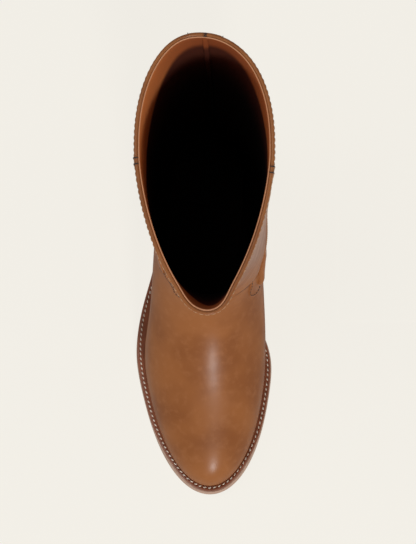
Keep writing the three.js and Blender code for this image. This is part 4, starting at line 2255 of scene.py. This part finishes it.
@dataclass
class Studio:
    """The floor, the lights and the camera.

    Attributes:
        tilt: The camera's angle over the floor, in degrees.
        distance: From the camera to the point that it faces.
        aim: That point.
        lens: The lens, in millimetres.
    """

    tilt: float = 88.01
    distance: float = 1526.0
    aim: tuple[float, float, float] = (0.0, -72.7, 0.0)
    lens: float = 131.7

    def floor(
        self,
        name: str,
        size: float,
        drop: float,
        paper: bpy.types.Material,
        middle: tuple[float, float] = (0.0, -0.07),
    ) -> bpy.types.Object:
        """Lay a square of paper.

        Args:
            name: The sheet's name.
            size: Half of its side in metres.
            drop: How far it lies below the boot, in metres.
            paper: Its material.
            middle: Where its middle lies, in metres.

        Returns:
            The sheet.
        """
        mesh = bpy.data.meshes.new(name)
        sides = ((-1, -1), (1, -1), (1, 1), (-1, 1))
        corners = [(middle[0] + size * x, middle[1] + size * y, 0) for x, y in sides]
        mesh.from_pydata(corners, [], [(0, 1, 2, 3)])
        mesh.materials.append(paper)
        sheet = bpy.data.objects.new(name, mesh)
        bpy.context.scene.collection.objects.link(sheet)
        sheet.location.z = -drop
        return sheet

    def camera(self) -> bpy.types.Object:
        """Hang the camera over the boot, the toe at the bottom of the frame.

        Returns:
            The camera.
        """
        lens = bpy.data.cameras.new("camera")
        lens.lens = self.lens
        lens.sensor_width = 36
        lens.clip_end = 100
        lens.dof.use_dof = False
        made = bpy.data.objects.new("camera", lens)
        bpy.context.scene.collection.objects.link(made)
        tilt = math.radians(self.tilt)
        back = Vector((0, -math.cos(tilt), math.sin(tilt)))
        up = Vector((0, math.sin(tilt), math.cos(tilt)))
        right = Vector((1, 0, 0))
        place = Vector(self.aim) * MM + back * self.distance * MM
        turned = Matrix((right, up, back)).transposed().to_4x4()
        made.matrix_world = Matrix.Translation(place) @ turned
        bpy.context.scene.camera = made
        return made

    def softbox(
        self,
        name: str,
        place: tuple[float, float, float],
        aim: tuple[float, float, float],
        size: tuple[float, float],
        power: float,
        colour: str = "#ffffff",
    ) -> bpy.types.Object:
        """Set up a rectangular softbox.

        Args:
            name: Its name.
            place: Where it stands, in metres.
            aim: The point it faces, in metres.
            size: Its width and height in metres.
            power: Its power in watts.
            colour: Its colour as sRGB hex.

        Returns:
            The light.
        """
        light = bpy.data.lights.new(name, "AREA")
        light.shape = "RECTANGLE"
        light.size, light.size_y = size
        light.energy = power
        light.color = linear(colour)[:3]
        made = bpy.data.objects.new(name, light)
        bpy.context.scene.collection.objects.link(made)
        made.location = place
        made.rotation_euler = (Vector(aim) - Vector(place)).to_track_quat("-Z", "Y").to_euler()
        made.visible_camera = False
        return made

    def light(self) -> None:
        """Light the boot softly from over the toe, a little more from the inner side."""
        self.softbox("overhead", (-0.85, 0.3, 2.5), (0, -0.1, 0), (1.0, 1.1), 13.6)
        self.softbox("toe_key", (0.38, -1.9, 1.28), (0, -0.1, 0.1), (0.34, 0.3), 21)
        self.softbox("inner_side", (1.7, 0.1, 1.1), (0, -0.05, 0.2), (0.8, 1.4), 2.8, "#ffe4bd")
        self.softbox("outer_side", (-1.8, -0.3, 0.9), (0, -0.05, 0.2), (0.8, 1.2), 0.7)
        world = bpy.data.worlds.new("room")
        world.use_nodes = True
        world.node_tree.nodes.clear()
        glow = add_node(
            world.node_tree,
            "ShaderNodeBackground",
            {"Color": linear("#f4f2ee"), "Strength": 0.28},
        )
        add_node(world.node_tree, "ShaderNodeOutputWorld", {0: glow.outputs[0]})
        bpy.context.scene.world = world
        bpy.context.scene.view_settings.view_transform = "Standard"


def main() -> None:
    """Build the boot, the floor, the lights and the camera."""
    logging.basicConfig(level=logging.INFO, format="%(message)s")
    studio = Studio()
    studio.camera()
    studio.light()
    paper = PaperFloor().build()
    studio.floor("near_paper", 0.09, 0.0005, paper, (0.19, -0.02))
    # The far paper isn't mirrored, so that the boot keeps its deep tan at the sides.
    studio.floor("far_paper", 9.0, 0.001, paper).visible_glossy = False

    form = BootForm()
    calf = PolishedCalf().build()
    lining_leather = LiningLeather().build()
    welt_leather = WaxedEdgeLeather("waxed_welt_leather", "#945639", "#6c3b26").build()
    sole_leather = WaxedEdgeLeather("natural_sole_leather", "#c8a692", "#ab8873", 0.6).build()
    heel_leather = WaxedEdgeLeather("stained_heel_leather", "#6f432a", "#4f2d1b", 0.45).build()
    linen = WaxedThread("waxed_linen_thread", "#fffaf0", "#dccdb4").build()
    tan_thread = WaxedThread("tan_thread", "#d0aa84", "#9c6f49").build()
    dark_thread = WaxedThread("dark_thread", "#3d2415", "#22130b").build()

    upper = Upper(form)
    placed(upper.shell(calf), "upper_leather", "upper")
    lining = Lining(form)
    placed(lining.shell(lining_leather), "insole_leather")
    placed(lining.back_strip(lining_leather), "insole_leather")
    placed(Sock(form).slab(lining_leather), "insole_leather", "insole")

    welt = Welt(form)
    placed(welt.strip(welt_leather), "welt_leather", "welt")
    placed(welt.stitches(linen), "welt_leather")
    placed(Outsole(form).slab(sole_leather), "outsole_leather", "outsole")
    heel = Heel(form)
    placed(heel.stack(heel_leather), "heel_leather", "heel")
    placed(heel.top_piece(HeelRubber().build()), "heel_rubber", "heel_top_piece")

    seams = Seams(form, upper.ground())
    for piece in seams.pieces(calf, tan_thread, dark_thread):
        placed(piece, "upper_leather")


if __name__ == "__main__":
    main()
